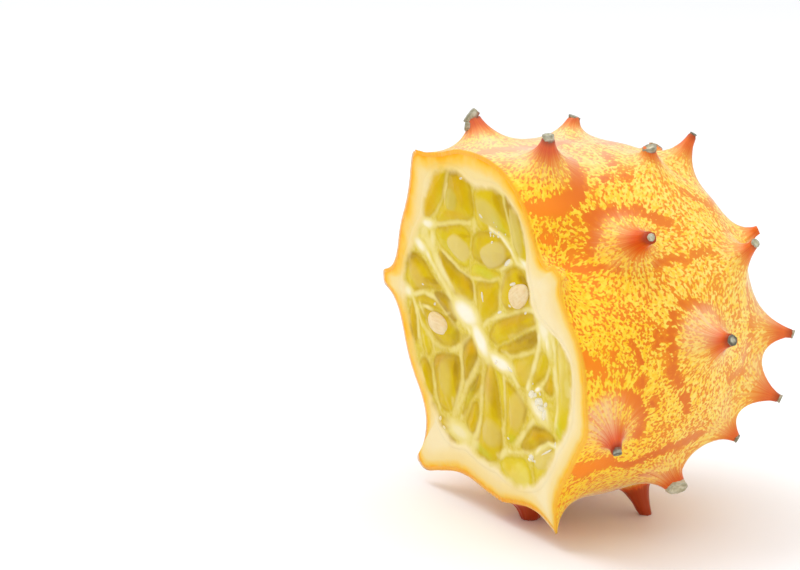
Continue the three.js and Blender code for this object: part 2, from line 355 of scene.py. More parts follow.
shape(
    rind_mesh,
    grown,
    skin_place=places,
    horn_way=horn_way,
    horn_rise=horn_rise,
    pale_side=pale_side,
    bloom=smooth(directions[:, 2], *SHEEN_FACING),
    band_gap=band_gap,
)
bmesh.ops.bisect_plane(
    rind_mesh,
    geom=rind_mesh.verts[:] + rind_mesh.edges[:] + rind_mesh.faces[:],
    dist=1e-5,
    plane_co=CUT_POINT,
    plane_no=CUT_OUT,
    clear_outer=True,
)


def rim_of(mesh):
    """The open edges of a mesh and their corners, in order round the cut face."""
    edges = [edge for edge in mesh.edges if edge.is_boundary]
    corner = edges[0].verts[0]
    corners = []
    edge = edges[0]
    while not corners or corner is not corners[0]:
        corners.append(corner)
        edge = next(other for other in corner.link_edges if other.is_boundary and other is not edge)
        corner = edge.other_vert(corner)
    return edges, corners


def extruded(mesh, edges):
    """Extrudes open edges; returns the new corners and the new open edges between them."""
    result = bmesh.ops.extrude_edge_only(mesh, edges=edges)
    corners = [item for item in result["geom"] if isinstance(item, bmesh.types.BMVert)]
    fresh = set(corners)
    edges = [item for item in result["geom"] if isinstance(item, bmesh.types.BMEdge)
             and item.verts[0] in fresh and item.verts[1] in fresh]
    return corners, edges


def drawn_in(mesh, edges, move):
    """Extrudes open edges and moves the new corners; returns the new open edges."""
    corners, edges = extruded(mesh, edges)
    for corner in corners:
        corner.co += move(corner.co)
    return edges


FACE_RIGHT = np.array((1.0, 0.0, 0.0))
FACE_UP = np.array((0.0, -math.sin(CUT_LEAN), math.cos(CUT_LEAN)))
EDGE_SPOKES = 900
SKIN_LINE_ROUNDS = 40
SKIN_LINE_STEP = 0.6


def on_face(right, up, out=0.0):
    """A point of the cut face, in millimetres right, up and out from its middle."""
    place = np.multiply.outer(right, FACE_RIGHT) + np.multiply.outer(up, FACE_UP)
    return CUT_POINT + place + np.multiply.outer(out, CUT_OUT)


def face_bearing(points):
    """How far out from the middle of the cut face points are, and their bearings in degrees."""
    right, up = (points - CUT_POINT) @ FACE_RIGHT, (points - CUT_POINT) @ FACE_UP
    return np.hypot(right, up), np.degrees(np.arctan2(up, right)) % 360


# The knife leaves no sharp corners, so the skin is eased close to the cut and laid flat in it.
rim_edges, rim_corners = rim_of(rind_mesh)
cut_point, cut_out = Vector(CUT_POINT), Vector(CUT_OUT)
close = [vert for vert in rind_mesh.verts if (vert.co - cut_point).dot(cut_out) > -EASED_DEPTH]
for _ in range(EASED_ROUNDS):
    bmesh.ops.smooth_vert(
        rind_mesh, verts=close, factor=0.5, use_axis_x=True, use_axis_y=True, use_axis_z=True)
    for corner in rim_corners:
        corner.co -= (corner.co - cut_point).dot(cut_out) * cut_out

# The line where skin meets flesh, a skin thickness inside the cut edge at every bearing.
rim = np.array([corner.co for corner in rim_corners])
rim_radius, rim_bearing = face_bearing(rim)
order = np.argsort(rim_bearing)
spoke_bearing = np.arange(EDGE_SPOKES) * 360 / EDGE_SPOKES
rim_at_spoke = np.interp(spoke_bearing, rim_bearing[order], rim_radius[order], period=360)
spoke_way = np.stack(
    (np.cos(np.radians(spoke_bearing)), np.sin(np.radians(spoke_bearing))), axis=1)
rim_flat = rim_at_spoke[:, None] * spoke_way
inner_radius = rim_at_spoke.copy()
for _ in range(SKIN_LINE_ROUNDS):
    place = inner_radius[:, None] * spoke_way
    gap = np.min(np.linalg.norm(place[:, None] - rim_flat[None], axis=2), axis=1)
    inner_radius -= SKIN_LINE_STEP * np.maximum(SKIN_THICKNESS - gap, 0)


# Behind the cut the horns that it goes through are thin, so the back keeps clear of them.
spokes_near = int(BACK_SPREAD * EDGE_SPOKES / 360)
turned_radii = [np.roll(inner_radius, turn) for turn in range(-spokes_near, spokes_near + 1)]
back_radius = np.min(turned_radii, axis=0) - BACK_MARGIN


def at_bearing_of(point, radii, out):
    """The point at this one's bearing in the cut face, with its distance from the middle in radii."""
    bearing = face_bearing(np.array(point))[1]
    radius = np.interp(bearing, spoke_bearing, radii, period=360)
    angle = math.radians(bearing)
    return Vector(on_face(radius * math.cos(angle), radius * math.sin(angle), out))


# The cut edge of the skin: a narrow flat band, a step down behind the flesh, and a back.
inner_edges = drawn_in(
    rind_mesh, rim_edges, lambda place: at_bearing_of(place, inner_radius, 0.0) - place)
for edge in inner_edges:
    edge.smooth = False
back_edges = drawn_in(rind_mesh, inner_edges, lambda place: Vector(-FLESH_STEP * CUT_OUT))
back_edges = drawn_in(
    rind_mesh, back_edges, lambda place: at_bearing_of(place, back_radius, -FLESH_DEPTH) - place)
BACK_POINT = Vector(CUT_POINT - FLESH_DEPTH * CUT_OUT)
for share in BACK_RINGS:
    back_edges = drawn_in(rind_mesh, back_edges, lambda place: share * (BACK_POINT - place))
middle = list({corner for edge in back_edges for corner in edge.verts})
bmesh.ops.pointmerge(rind_mesh, verts=middle, merge_co=BACK_POINT)
bmesh.ops.recalc_face_normals(rind_mesh, faces=rind_mesh.faces[:])


def piece_from(mesh, name):
    """Turns a bmesh in millimetres into an object in metres that rides on the fruit's one body."""
    bmesh.ops.scale(mesh, vec=(MM, MM, MM), verts=mesh.verts[:])
    data = bpy.data.meshes.new(name)
    mesh.to_mesh(data)
    mesh.free()
    data.polygons.foreach_set("use_smooth", [True] * len(data.polygons))
    piece = bpy.data.objects.new(name, data)
    bpy.context.collection.objects.link(piece)
    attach(piece, "root")
    return piece


def paint(code):
    """A colour given as red, green and blue in hexadecimal, made linear."""
    channels = [int(code[start:start + 2], 16) / 255 for start in (0, 2, 4)]
    linear = [c / 12.92 if c <= 0.04045 else ((c + 0.055) / 1.055) ** 2.4 for c in channels]
    return (*linear, 1.0)


class Finish:
    """A material as it is put together, with a method for each kind of step in its finish."""

    def __init__(self, name):
        self.material = bpy.data.materials.new(name)
        self.material.use_nodes = True
        self.nodes = self.material.node_tree.nodes
        self.links = self.material.node_tree.links
        self.shader = self.nodes["Principled BSDF"]

    def feed(self, socket, value):
        """Links an output to an input, or sets the input to a value or a hexadecimal colour."""
        if isinstance(value, bpy.types.NodeSocket):
            self.links.new(value, socket)
        else:
            socket.default_value = paint(value) if isinstance(value, str) else value

    def attribute(self, name, output="Fac"):
        node = self.nodes.new("ShaderNodeAttribute")
        node.attribute_name = name
        return node.outputs[output]

    def object_place(self):
        """The place on the piece, in millimetres."""
        place = self.nodes.new("ShaderNodeTexCoord").outputs["Object"]
        mapping = self.nodes.new("ShaderNodeMapping")
        mapping.inputs["Scale"].default_value = (1 / MM, 1 / MM, 1 / MM)
        self.links.new(place, mapping.inputs["Vector"])
        return mapping.outputs["Vector"]

    def noise(self, place, scale, detail=2.0, roughness=0.5, distortion=0.0):
        node = self.nodes.new("ShaderNodeTexNoise")
        self.feed(node.inputs["Vector"], place)
        node.inputs["Scale"].default_value = scale
        node.inputs["Detail"].default_value = detail
        node.inputs["Roughness"].default_value = roughness
        node.inputs["Distortion"].default_value = distortion
        return node.outputs["Fac"]

    def reckon(self, kind, operation, a, b):
        node = self.nodes.new(kind)
        node.operation = operation
        self.feed(node.inputs[0], a)
        self.feed(node.inputs[1], b)
        return node.outputs

    def plus(self, a, b):
        return self.reckon("ShaderNodeMath", "ADD", a, b)[0]

    def minus(self, a, b):
        return self.reckon("ShaderNodeMath", "SUBTRACT", a, b)[0]

    def times(self, a, b):
        return self.reckon("ShaderNodeMath", "MULTIPLY", a, b)[0]

    def shifted(self, place, origin):
        """A place as seen from an origin."""
        return self.reckon("ShaderNodeVectorMath", "SUBTRACT", place, tuple(origin))["Vector"]

    def stretched(self, place, scale):
        """A place with each of its three sides scaled."""
        return self.reckon("ShaderNodeVectorMath", "MULTIPLY", place, scale)["Vector"]

    def along(self, place, way):
        """How far a place lies along a direction."""
        return self.reckon("ShaderNodeVectorMath", "DOT_PRODUCT", place, tuple(way))["Value"]

    def step(self, value, low, high, to_low=0.0, to_high=1.0):
        """Goes smoothly from to_low to to_high as value goes from low to high."""
        node = self.nodes.new("ShaderNodeMapRange")
        node.interpolation_type = "SMOOTHSTEP"
        self.feed(node.inputs["Value"], value)
        node.inputs["From Min"].default_value = low
        node.inputs["From Max"].default_value = high
        node.inputs["To Min"].default_value = to_low
        node.inputs["To Max"].default_value = to_high
        return node.outputs["Result"]

    def mix(self, share, first, second):
        """Goes from the first colour to the second as share goes from 0 to 1."""
        node = self.nodes.new("ShaderNodeMix")
        node.data_type = "RGBA"
        self.feed(node.inputs[0], share)
        self.feed(node.inputs[6], first)
        self.feed(node.inputs[7], second)
        return node.outputs[2]

    def ramp(self, share, colours):
        """Runs through evenly spaced colours as share goes from 0 to 1."""
        mixed = colours[0]
        for number, colour in enumerate(colours[1:]):
            width = 1 / (len(colours) - 1)
            mixed = self.mix(self.step(share, number * width, (number + 1) * width), mixed, colour)
        return mixed

    def bump(self, height, strength, distance):
        node = self.nodes.new("ShaderNodeBump")
        self.feed(node.inputs["Height"], height)
        node.inputs["Strength"].default_value = strength
        node.inputs["Distance"].default_value = distance
        self.links.new(node.outputs["Normal"], self.shader.inputs["Normal"])

    def set(self, **inputs):
        for name, value in inputs.items():
            self.feed(self.shader.inputs[name.replace("_", " ")], value)


def rind_finish():
    skin = Finish("rind")
    place = skin.attribute("skin_place", "Vector")
    rise = skin.attribute("horn_rise")
    band = skin.attribute("band_gap")
    from_middle = skin.shifted(skin.object_place(), CUT_POINT)
    behind_cut = skin.along(from_middle, -CUT_OUT)
    to_right = skin.along(from_middle, FACE_RIGHT)

    # Speckles: a fine curly noise, cut off where it is low. Plain bands and horns have none.
    grain = skin.noise(place, 1.65, detail=1.5, roughness=0.45, distortion=0.15)
    drift = skin.noise(place, 0.11, detail=2.0)
    ragged = skin.times(skin.minus(skin.noise(place, 0.9, 2.0), 0.5), 3.0)
    plain = skin.step(skin.plus(band, ragged), -0.5, 0.6, 1.0, 0.0)
    patchy = skin.minus(skin.noise(place, 0.22, detail=1.0), 0.5)
    level = skin.plus(grain, skin.times(patchy, 0.32))
    level = skin.minus(level, skin.times(plain, 0.3))
    level = skin.minus(level, skin.step(rise, 0.2, 0.6, 0.0, 0.3))
    speckle = skin.step(level, 0.41, 0.53)

    # Streaks that run up the foot of each horn.
    way = skin.stretched(skin.attribute("horn_way", "Vector"), (10.0, 10.0, 9.0))
    streak = skin.step(skin.noise(way, 1.0, detail=3.0), 0.36, 0.66)

    # Between speckles the orange is golden, most of all by the cut; bands are a redder orange.
    far = skin.step(behind_cut, 14.0, 44.0)
    golden = skin.mix(skin.step(behind_cut, 2.0, 16.0), "FF9C04", "F29410")
    orange = skin.mix(skin.step(drift, 0.35, 0.65, 0.4, 0.8), golden, "EA7E0C")
    banded = skin.mix(skin.step(behind_cut, 2.0, 16.0), "FA8A08", "E26E10")
    orange = skin.mix(plain, orange, banded)
    tint = skin.step(skin.noise(place, 1.3, 2.0), 0.35, 0.65)
    near_yellow = skin.mix(tint, "FFC610", "FFDC3C")
    far_yellow = skin.mix(tint, "FFCE38", "FFE474")
    yellow = skin.mix(skin.step(behind_cut, 6.0, 34.0), near_yellow, far_yellow)
    orange = skin.mix(skin.times(far, 0.6), orange, "F6A438")
    colour = skin.mix(speckle, orange, yellow)
    foot = skin.times(skin.step(rise, 0.02, 0.2), skin.step(rise, 0.4, 0.75, 1.0, 0.0))
    colour = skin.mix(skin.times(skin.times(foot, streak), 0.5), colour, "FACC6C")
    red = skin.times(skin.step(rise, 0.2, 0.75), skin.step(streak, 0.0, 1.0, 1.0, 0.75))
    colour = skin.mix(red, colour, skin.mix(far, "D84A10", "E2662A"))
    colour = skin.mix(skin.step(rise, 0.75, 1.0, 0.0, 0.7), colour, "942C10")
    # Painted highlight: each horn is paler on the side that faces up and to the front left.
    horn_highlight = skin.times(skin.attribute("pale_side"), skin.step(streak, 0.0, 1.0, 0.3, 0.55))
    colour = skin.mix(horn_highlight, colour, "F9C8A6")
    # Painted sheen: the skin turns paler towards the top of the fruit, less so on the horns.
    bloom = skin.times(skin.attribute("bloom"), skin.step(drift, 0.3, 0.7, 0.25, 0.55))
    bloom = skin.times(bloom, skin.step(rise, 0.1, 0.5, 1.0, 0.25))
    colour = skin.mix(bloom, colour, "FAE2C8")
    cut_edge = skin.mix(skin.step(to_right, 0.0, 30.0), "FFAE0A", "FFBC30")
    colour = skin.mix(skin.step(behind_cut, 0.0, 0.6, 0.9, 0.0), colour, cut_edge)

    skin.set(Base_Color=colour, Roughness=skin.step(grain, 0.3, 0.7, 0.46, 0.36), IOR=1.45)
    skin.set(Specular_IOR_Level=0.3, Sheen_Weight=0.7, Sheen_Roughness=0.22)
    skin.set(Subsurface_Weight=0.12, Subsurface_Scale=0.001)
    skin.set(Subsurface_Radius=(2.0, 0.8, 0.25))
    pores = skin.noise(place, 2.2, detail=3.0)
    height = skin.plus(skin.times(speckle, 0.6), skin.times(pores, 0.5))
    skin.bump(height, 0.35, 0.00012)
    return skin.material


rind = piece_from(rind_mesh, "rind")
rind.data.materials.append(rind_finish())
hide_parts("horned_melon_half")

# ---- Horn tips ----
# The dried ends of the horns: short grey-green corky stubs with a dark ring round a paler, dished end.
STUB_SIDES = 28
STUB_LOOKS = {  # bearing and station of the horn: way the stub points, share of width, how dark
    (72, -0.13): ((-0.1, -0.1, 1.0), 0.95, 0.25),
    (339, -0.12): ((0.45, -0.1, -0.9), 0.75, 0.8),
    (104, -0.17): ((-0.45, -0.75, 0.55), 1.15, 0.3),
    (38, 0.12): (None, 0.62, 0.0),
    (2, 0.39): (None, 0.85, 0.75),
    (309, 0.36): ((0.77, -0.07, -0.64), 1.06, 0.0),
    (68, 0.4): (None, 1.0, 0.4),
    (29, 0.65): (None, 0.95, 0.2),
    (79, 0.63): (None, 0.8, 0.7),
}
STUB_DARK = (0.1, 0.6)  # how dark the other stubs are
STUB_WIDTH = 0.86
STUB_LEAN = 1.2
STUB_UNEVEN = 0.07
STUB_TILT = 0.12
STUB_SEED = 100
# One stub has a second lobe below it: its horn, its shift, the way it points and its width.
LOBE_HORN = (104, -0.17)
LOBE_SHIFT = Vector((0.3, -0.7, -1.7))
LOBE_WAY = (-0.5, -0.8, 0.1)
LOBE_WIDTH = 0.8
STUB_SHAPE = (  # share of the radius, share of the height
    (0.97, -0.8), (1.02, -0.25), (1.06, 0.1), (1.1, 0.45), (1.12, 0.75), (1.04, 0.95),
    (0.88, 1.02), (0.66, 0.9), (0.45, 0.72), (0.22, 0.66), (0.06, 0.66),
)

tips_mesh = bmesh.new()
stub_layer = tips_mesh.verts.layers.float.new("stub_run")
dark_layer = tips_mesh.verts.layers.float.new("stub_dark")
stubs = []
for number, horn in enumerate(horns):
    if horn.stub <= 0:
        continue
    usual_dark = random.Random(STUB_SEED + number).uniform(*STUB_DARK)
    direction, width, dark = STUB_LOOKS.get(horn.place, (None, 1.0, usual_dark))
    axis = Vector(direction or unit(horn.out + STUB_LEAN * horn.lean)).normalized()
    stubs.append((horn, Vector(horn.tip), axis, width, dark))
    if horn.place == LOBE_HORN:
        lobe_tip = Vector(horn.tip) + LOBE_SHIFT
        stubs.append((horn, lobe_tip, Vector(LOBE_WAY).normalized(), LOBE_WIDTH, dark))

for number, (horn, tip, axis, width, dark) in enumerate(stubs):
    chance = random.Random(STUB_SEED + number)
    frame_turn = axis.to_track_quat("Z", "Y").to_matrix().to_4x4()
    place = Matrix.Translation(tip) @ frame_turn
    ring = bmesh.ops.create_circle(tips_mesh, segments=STUB_SIDES, radius=1)["verts"]
    edges = list({edge for corner in ring for edge in corner.link_edges})
    uneven = [chance.uniform(-STUB_UNEVEN, STUB_UNEVEN) for _ in range(STUB_SIDES)]
    tilt = [chance.uniform(-STUB_TILT, STUB_TILT) for _ in range(2)]
    made = list(ring)
    for step, (share, high) in enumerate(STUB_SHAPE):
        if step:
            ring, edges = extruded(tips_mesh, edges)
            made += ring
        for corner in ring:
            angle = math.atan2(corner.co.y, corner.co.x)
            side = int(round(angle / (2 * math.pi) * STUB_SIDES)) % STUB_SIDES
            radius = STUB_WIDTH * width * horn.tip_radius * share
            radius *= 1 + uneven[side] * min(1, 2 * share)
            corner.co = Vector((radius * math.cos(angle), radius * math.sin(angle), 0))
            lift = tilt[0] * corner.co.x + tilt[1] * corner.co.y if high > 0 else 0
            corner.co.z = horn.stub * high + lift
            corner[stub_layer] = step / (len(STUB_SHAPE) - 1)
            corner[dark_layer] = dark
    bmesh.ops.pointmerge(
        tips_mesh, verts=ring, merge_co=sum((corner.co for corner in ring), Vector()) / len(ring))
    made = [corner for corner in made if corner.is_valid]
    bottom = [edge for corner in made for edge in corner.link_edges if edge.is_boundary]
    bmesh.ops.contextual_create(tips_mesh, geom=list(set(bottom)))
    bmesh.ops.transform(tips_mesh, matrix=place, verts=made)
bmesh.ops.recalc_face_normals(tips_mesh, faces=tips_mesh.faces[:])


def tips_finish():
    cork = Finish("horn_tips")
    place = cork.object_place()
    run = cork.attribute("stub_run")
    cloud = cork.noise(place, 1.4, detail=3.0)
    pale = cork.mix(cork.step(cloud, 0.35, 0.65), "B8B290", "DAD6BE")
    grey = cork.mix(cork.step(cloud, 0.35, 0.65), "4E4A40", "8C8A7A")
    grey = cork.mix(cork.step(run, 0.7, 0.85, 0.0, 0.7), grey, pale)
    colour = cork.mix(cork.attribute("stub_dark"), pale, grey)
    ring = cork.times(cork.step(run, 0.32, 0.42), cork.step(run, 0.62, 0.72, 1.0, 0.0))
    ring_dark = cork.step(cork.attribute("stub_dark"), 0.0, 1.0, 0.2, 0.8)
    colour = cork.mix(cork.times(ring, ring_dark), colour, "4A463A")
    colour = cork.mix(cork.step(run, 0.0, 0.2, 0.8, 0.0), colour, "8A3A18")
    cork.set(Base_Color=colour, Roughness=0.7)
    cork.bump(cork.noise(place, 3.0, detail=4.0), 0.6, 0.00025)
    return cork.material


horn_tips = piece_from(tips_mesh, "horn_tips")
horn_tips.data.materials.append(tips_finish())

# ---- Pith ----
# The firm cream flesh under the skin. In the cut face it is a ring, deep yellow next to the skin
# and paler inwards, with thick white corners where the walls between the sacs run into it.
PITH_INNER = (  # bearing in the cut face in degrees, distance from its middle
    (0, 31.6), (5, 30.4), (10, 27.5), (15, 24.2), (21, 21.4), (30, 21.2), (35, 22.2), (40, 23.0),
    (45, 24.8), (51, 28.4), (58, 31.2), (64, 32.3), (70, 32.4), (76, 32.0), (82, 31.2), (90, 30.4),
    (95, 31.4), (101, 32.8), (110, 34.3), (117, 34.7), (126, 33.4), (137, 30.4), (141, 30.0),
    (148, 30.6), (156, 30.9), (162, 32.4), (170, 33.2), (180, 33.4), (195, 33.0), (210, 32.4),
    (225, 33.2), (232, 33.6), (238, 32.8), (246, 29.4), (255, 29.2), (262, 29.0), (270, 28.6),
    (277, 30.4), (285, 31.6), (297, 32.2), (309, 31.4), (322, 30.2), (331, 31.2),
    (340, 31.5), (350, 31.5), (360, 31.6),
)
PITH_STEPS = (  # share of the way from skin to pulp, height over the cut
    (-0.01, -0.05), (0.02, 0.02), (0.06, 0.06), (0.12, 0.1), (0.2, 0.15), (0.3, 0.18), (0.42, 0.2),
    (0.55, 0.19), (0.68, 0.15), (0.8, 0.1), (0.9, 0.04), (1.0, -0.04), (1.08, -0.14), (1.16, -0.3),
)
PITH_BOTTOM = -2.2
PITH_TUCK = 0.3  # how far the pith starts behind the cut
PITH_SWELL = 0.12
PITH_SWELL_LENGTH = 7
PITH_BEARING_STEP = 0.5
PITH_ROUNDING = 11  # bearing steps over which the corners of the table are rounded
GOLD_BEARING = 150  # where the golden layer under the skin is thickest
GOLD_THICKNESS = 1.75
GOLD_CHANGE = 0.5
GOLD_FADE = 0.6


def pith_inner(bearings):
    """How far from the middle the pith ends, at these bearings in degrees."""
    table = np.array(PITH_INNER)
    fine = np.arange(0, 360, PITH_BEARING_STEP)
    radius = np.interp(fine, table[:, 0], table[:, 1])
    weights = np.hanning(PITH_ROUNDING)
    radius = np.convolve(np.tile(radius, 3), weights / weights.sum(), "same")
    return np.interp(bearings, fine, radius[len(fine):2 * len(fine)], period=360)


def golden_depth(reach, bearings):
    """Distance from the skin as a share of the golden layer, which thins and fades to one side."""
    thinning = GOLD_CHANGE * (1 - np.cos(np.radians(bearings - GOLD_BEARING)))
    return reach / (GOLD_THICKNESS - thinning) + GOLD_FADE * thinning


pith_edge = pith_inner(spoke_bearing)
pith_mesh = bmesh.new()
bmesh.ops.create_circle(pith_mesh, segments=EDGE_SPOKES, radius=1)
spoke = pith_mesh.verts.layers.int.new("spoke")
depth_layer = pith_mesh.verts.layers.float.new("from_skin")
skin_line = on_face(*(inner_radius[:, None] * spoke_way).T)
pith_swell = PITH_SWELL * wobble(skin_line, PITH_SWELL_LENGTH, 3)
for index, vert in enumerate(pith_mesh.verts):
    vert[spoke] = index
    vert.co = Vector(skin_line[index] - PITH_TUCK * CUT_OUT)
first_edges = pith_mesh.edges[:]


def pith_ring(edges, shares, height):
    """Extrudes the pith's open edge to these shares of the way from skin to pulp."""
    corners, edges = extruded(pith_mesh, edges)
    for corner in corners:
        index = corner[spoke]
        share = shares[index]
        reach = share * (inner_radius[index] - pith_edge[index])
        place = (inner_radius[index] - reach) * spoke_way[index]
        swell = pith_swell[index] * math.sin(math.pi * min(max(share, 0), 1))
        corner.co = Vector(on_face(*place, height + swell))
        corner[depth_layer] = golden_depth(reach, spoke_bearing[index])
    return edges


open_edges = first_edges
for share, height in PITH_STEPS:
    open_edges = pith_ring(open_edges, np.full(EDGE_SPOKES, share), height)
open_edges = pith_ring(open_edges, np.full(EDGE_SPOKES, PITH_STEPS[-1][0]), PITH_BOTTOM)
outer_share = (inner_radius - back_radius) / (inner_radius - pith_edge)
open_edges = pith_ring(open_edges, np.clip(outer_share, 0, 1), PITH_BOTTOM)
bmesh.ops.bridge_loops(pith_mesh, edges=open_edges + first_edges)
bmesh.ops.recalc_face_normals(pith_mesh, faces=pith_mesh.faces[:])


def flesh_colour(flesh, place):
    """Deep yellow next to the skin and cream further in."""
    cloud = flesh.noise(place, 0.25, detail=3.0)
    ragged = flesh.times(flesh.minus(cloud, 0.5), 1.4)
    depth = flesh.plus(flesh.attribute("from_skin"), ragged)
    colour = flesh.mix(flesh.step(depth, -0.3, 0.5), "FFA206", "FFB820")
    colour = flesh.mix(flesh.step(depth, 0.2, 1.2), colour, "FACA54")
    colour = flesh.mix(flesh.step(depth, 0.9, 2.4), colour, "F5DA94")
    colour = flesh.mix(flesh.step(depth, 2.0, 6.0, 0.0, 0.85), colour, "F7E5B8")
    return flesh.mix(flesh.step(cloud, 0.4, 0.75, 0.0, 0.3), colour, "F0CE80")


def pith_finish():
    flesh = Finish("pith")
    place = flesh.object_place()
    flesh.set(Base_Color=flesh_colour(flesh, place), Roughness=0.38, IOR=1.4)
    flesh.set(Subsurface_Weight=0.15, Subsurface_Scale=0.001, Subsurface_Radius=(1.6, 1.3, 0.5))
    flesh.set(Specular_IOR_Level=0.04, Coat_Weight=0.05, Coat_Roughness=0.1)
    fine = flesh.noise(place, 1.6, detail=4.0)
    flesh.bump(fine, 0.3, 0.00012)
    return flesh.material


pith = piece_from(pith_mesh, "pith")
pith.data.materials.append(pith_finish())

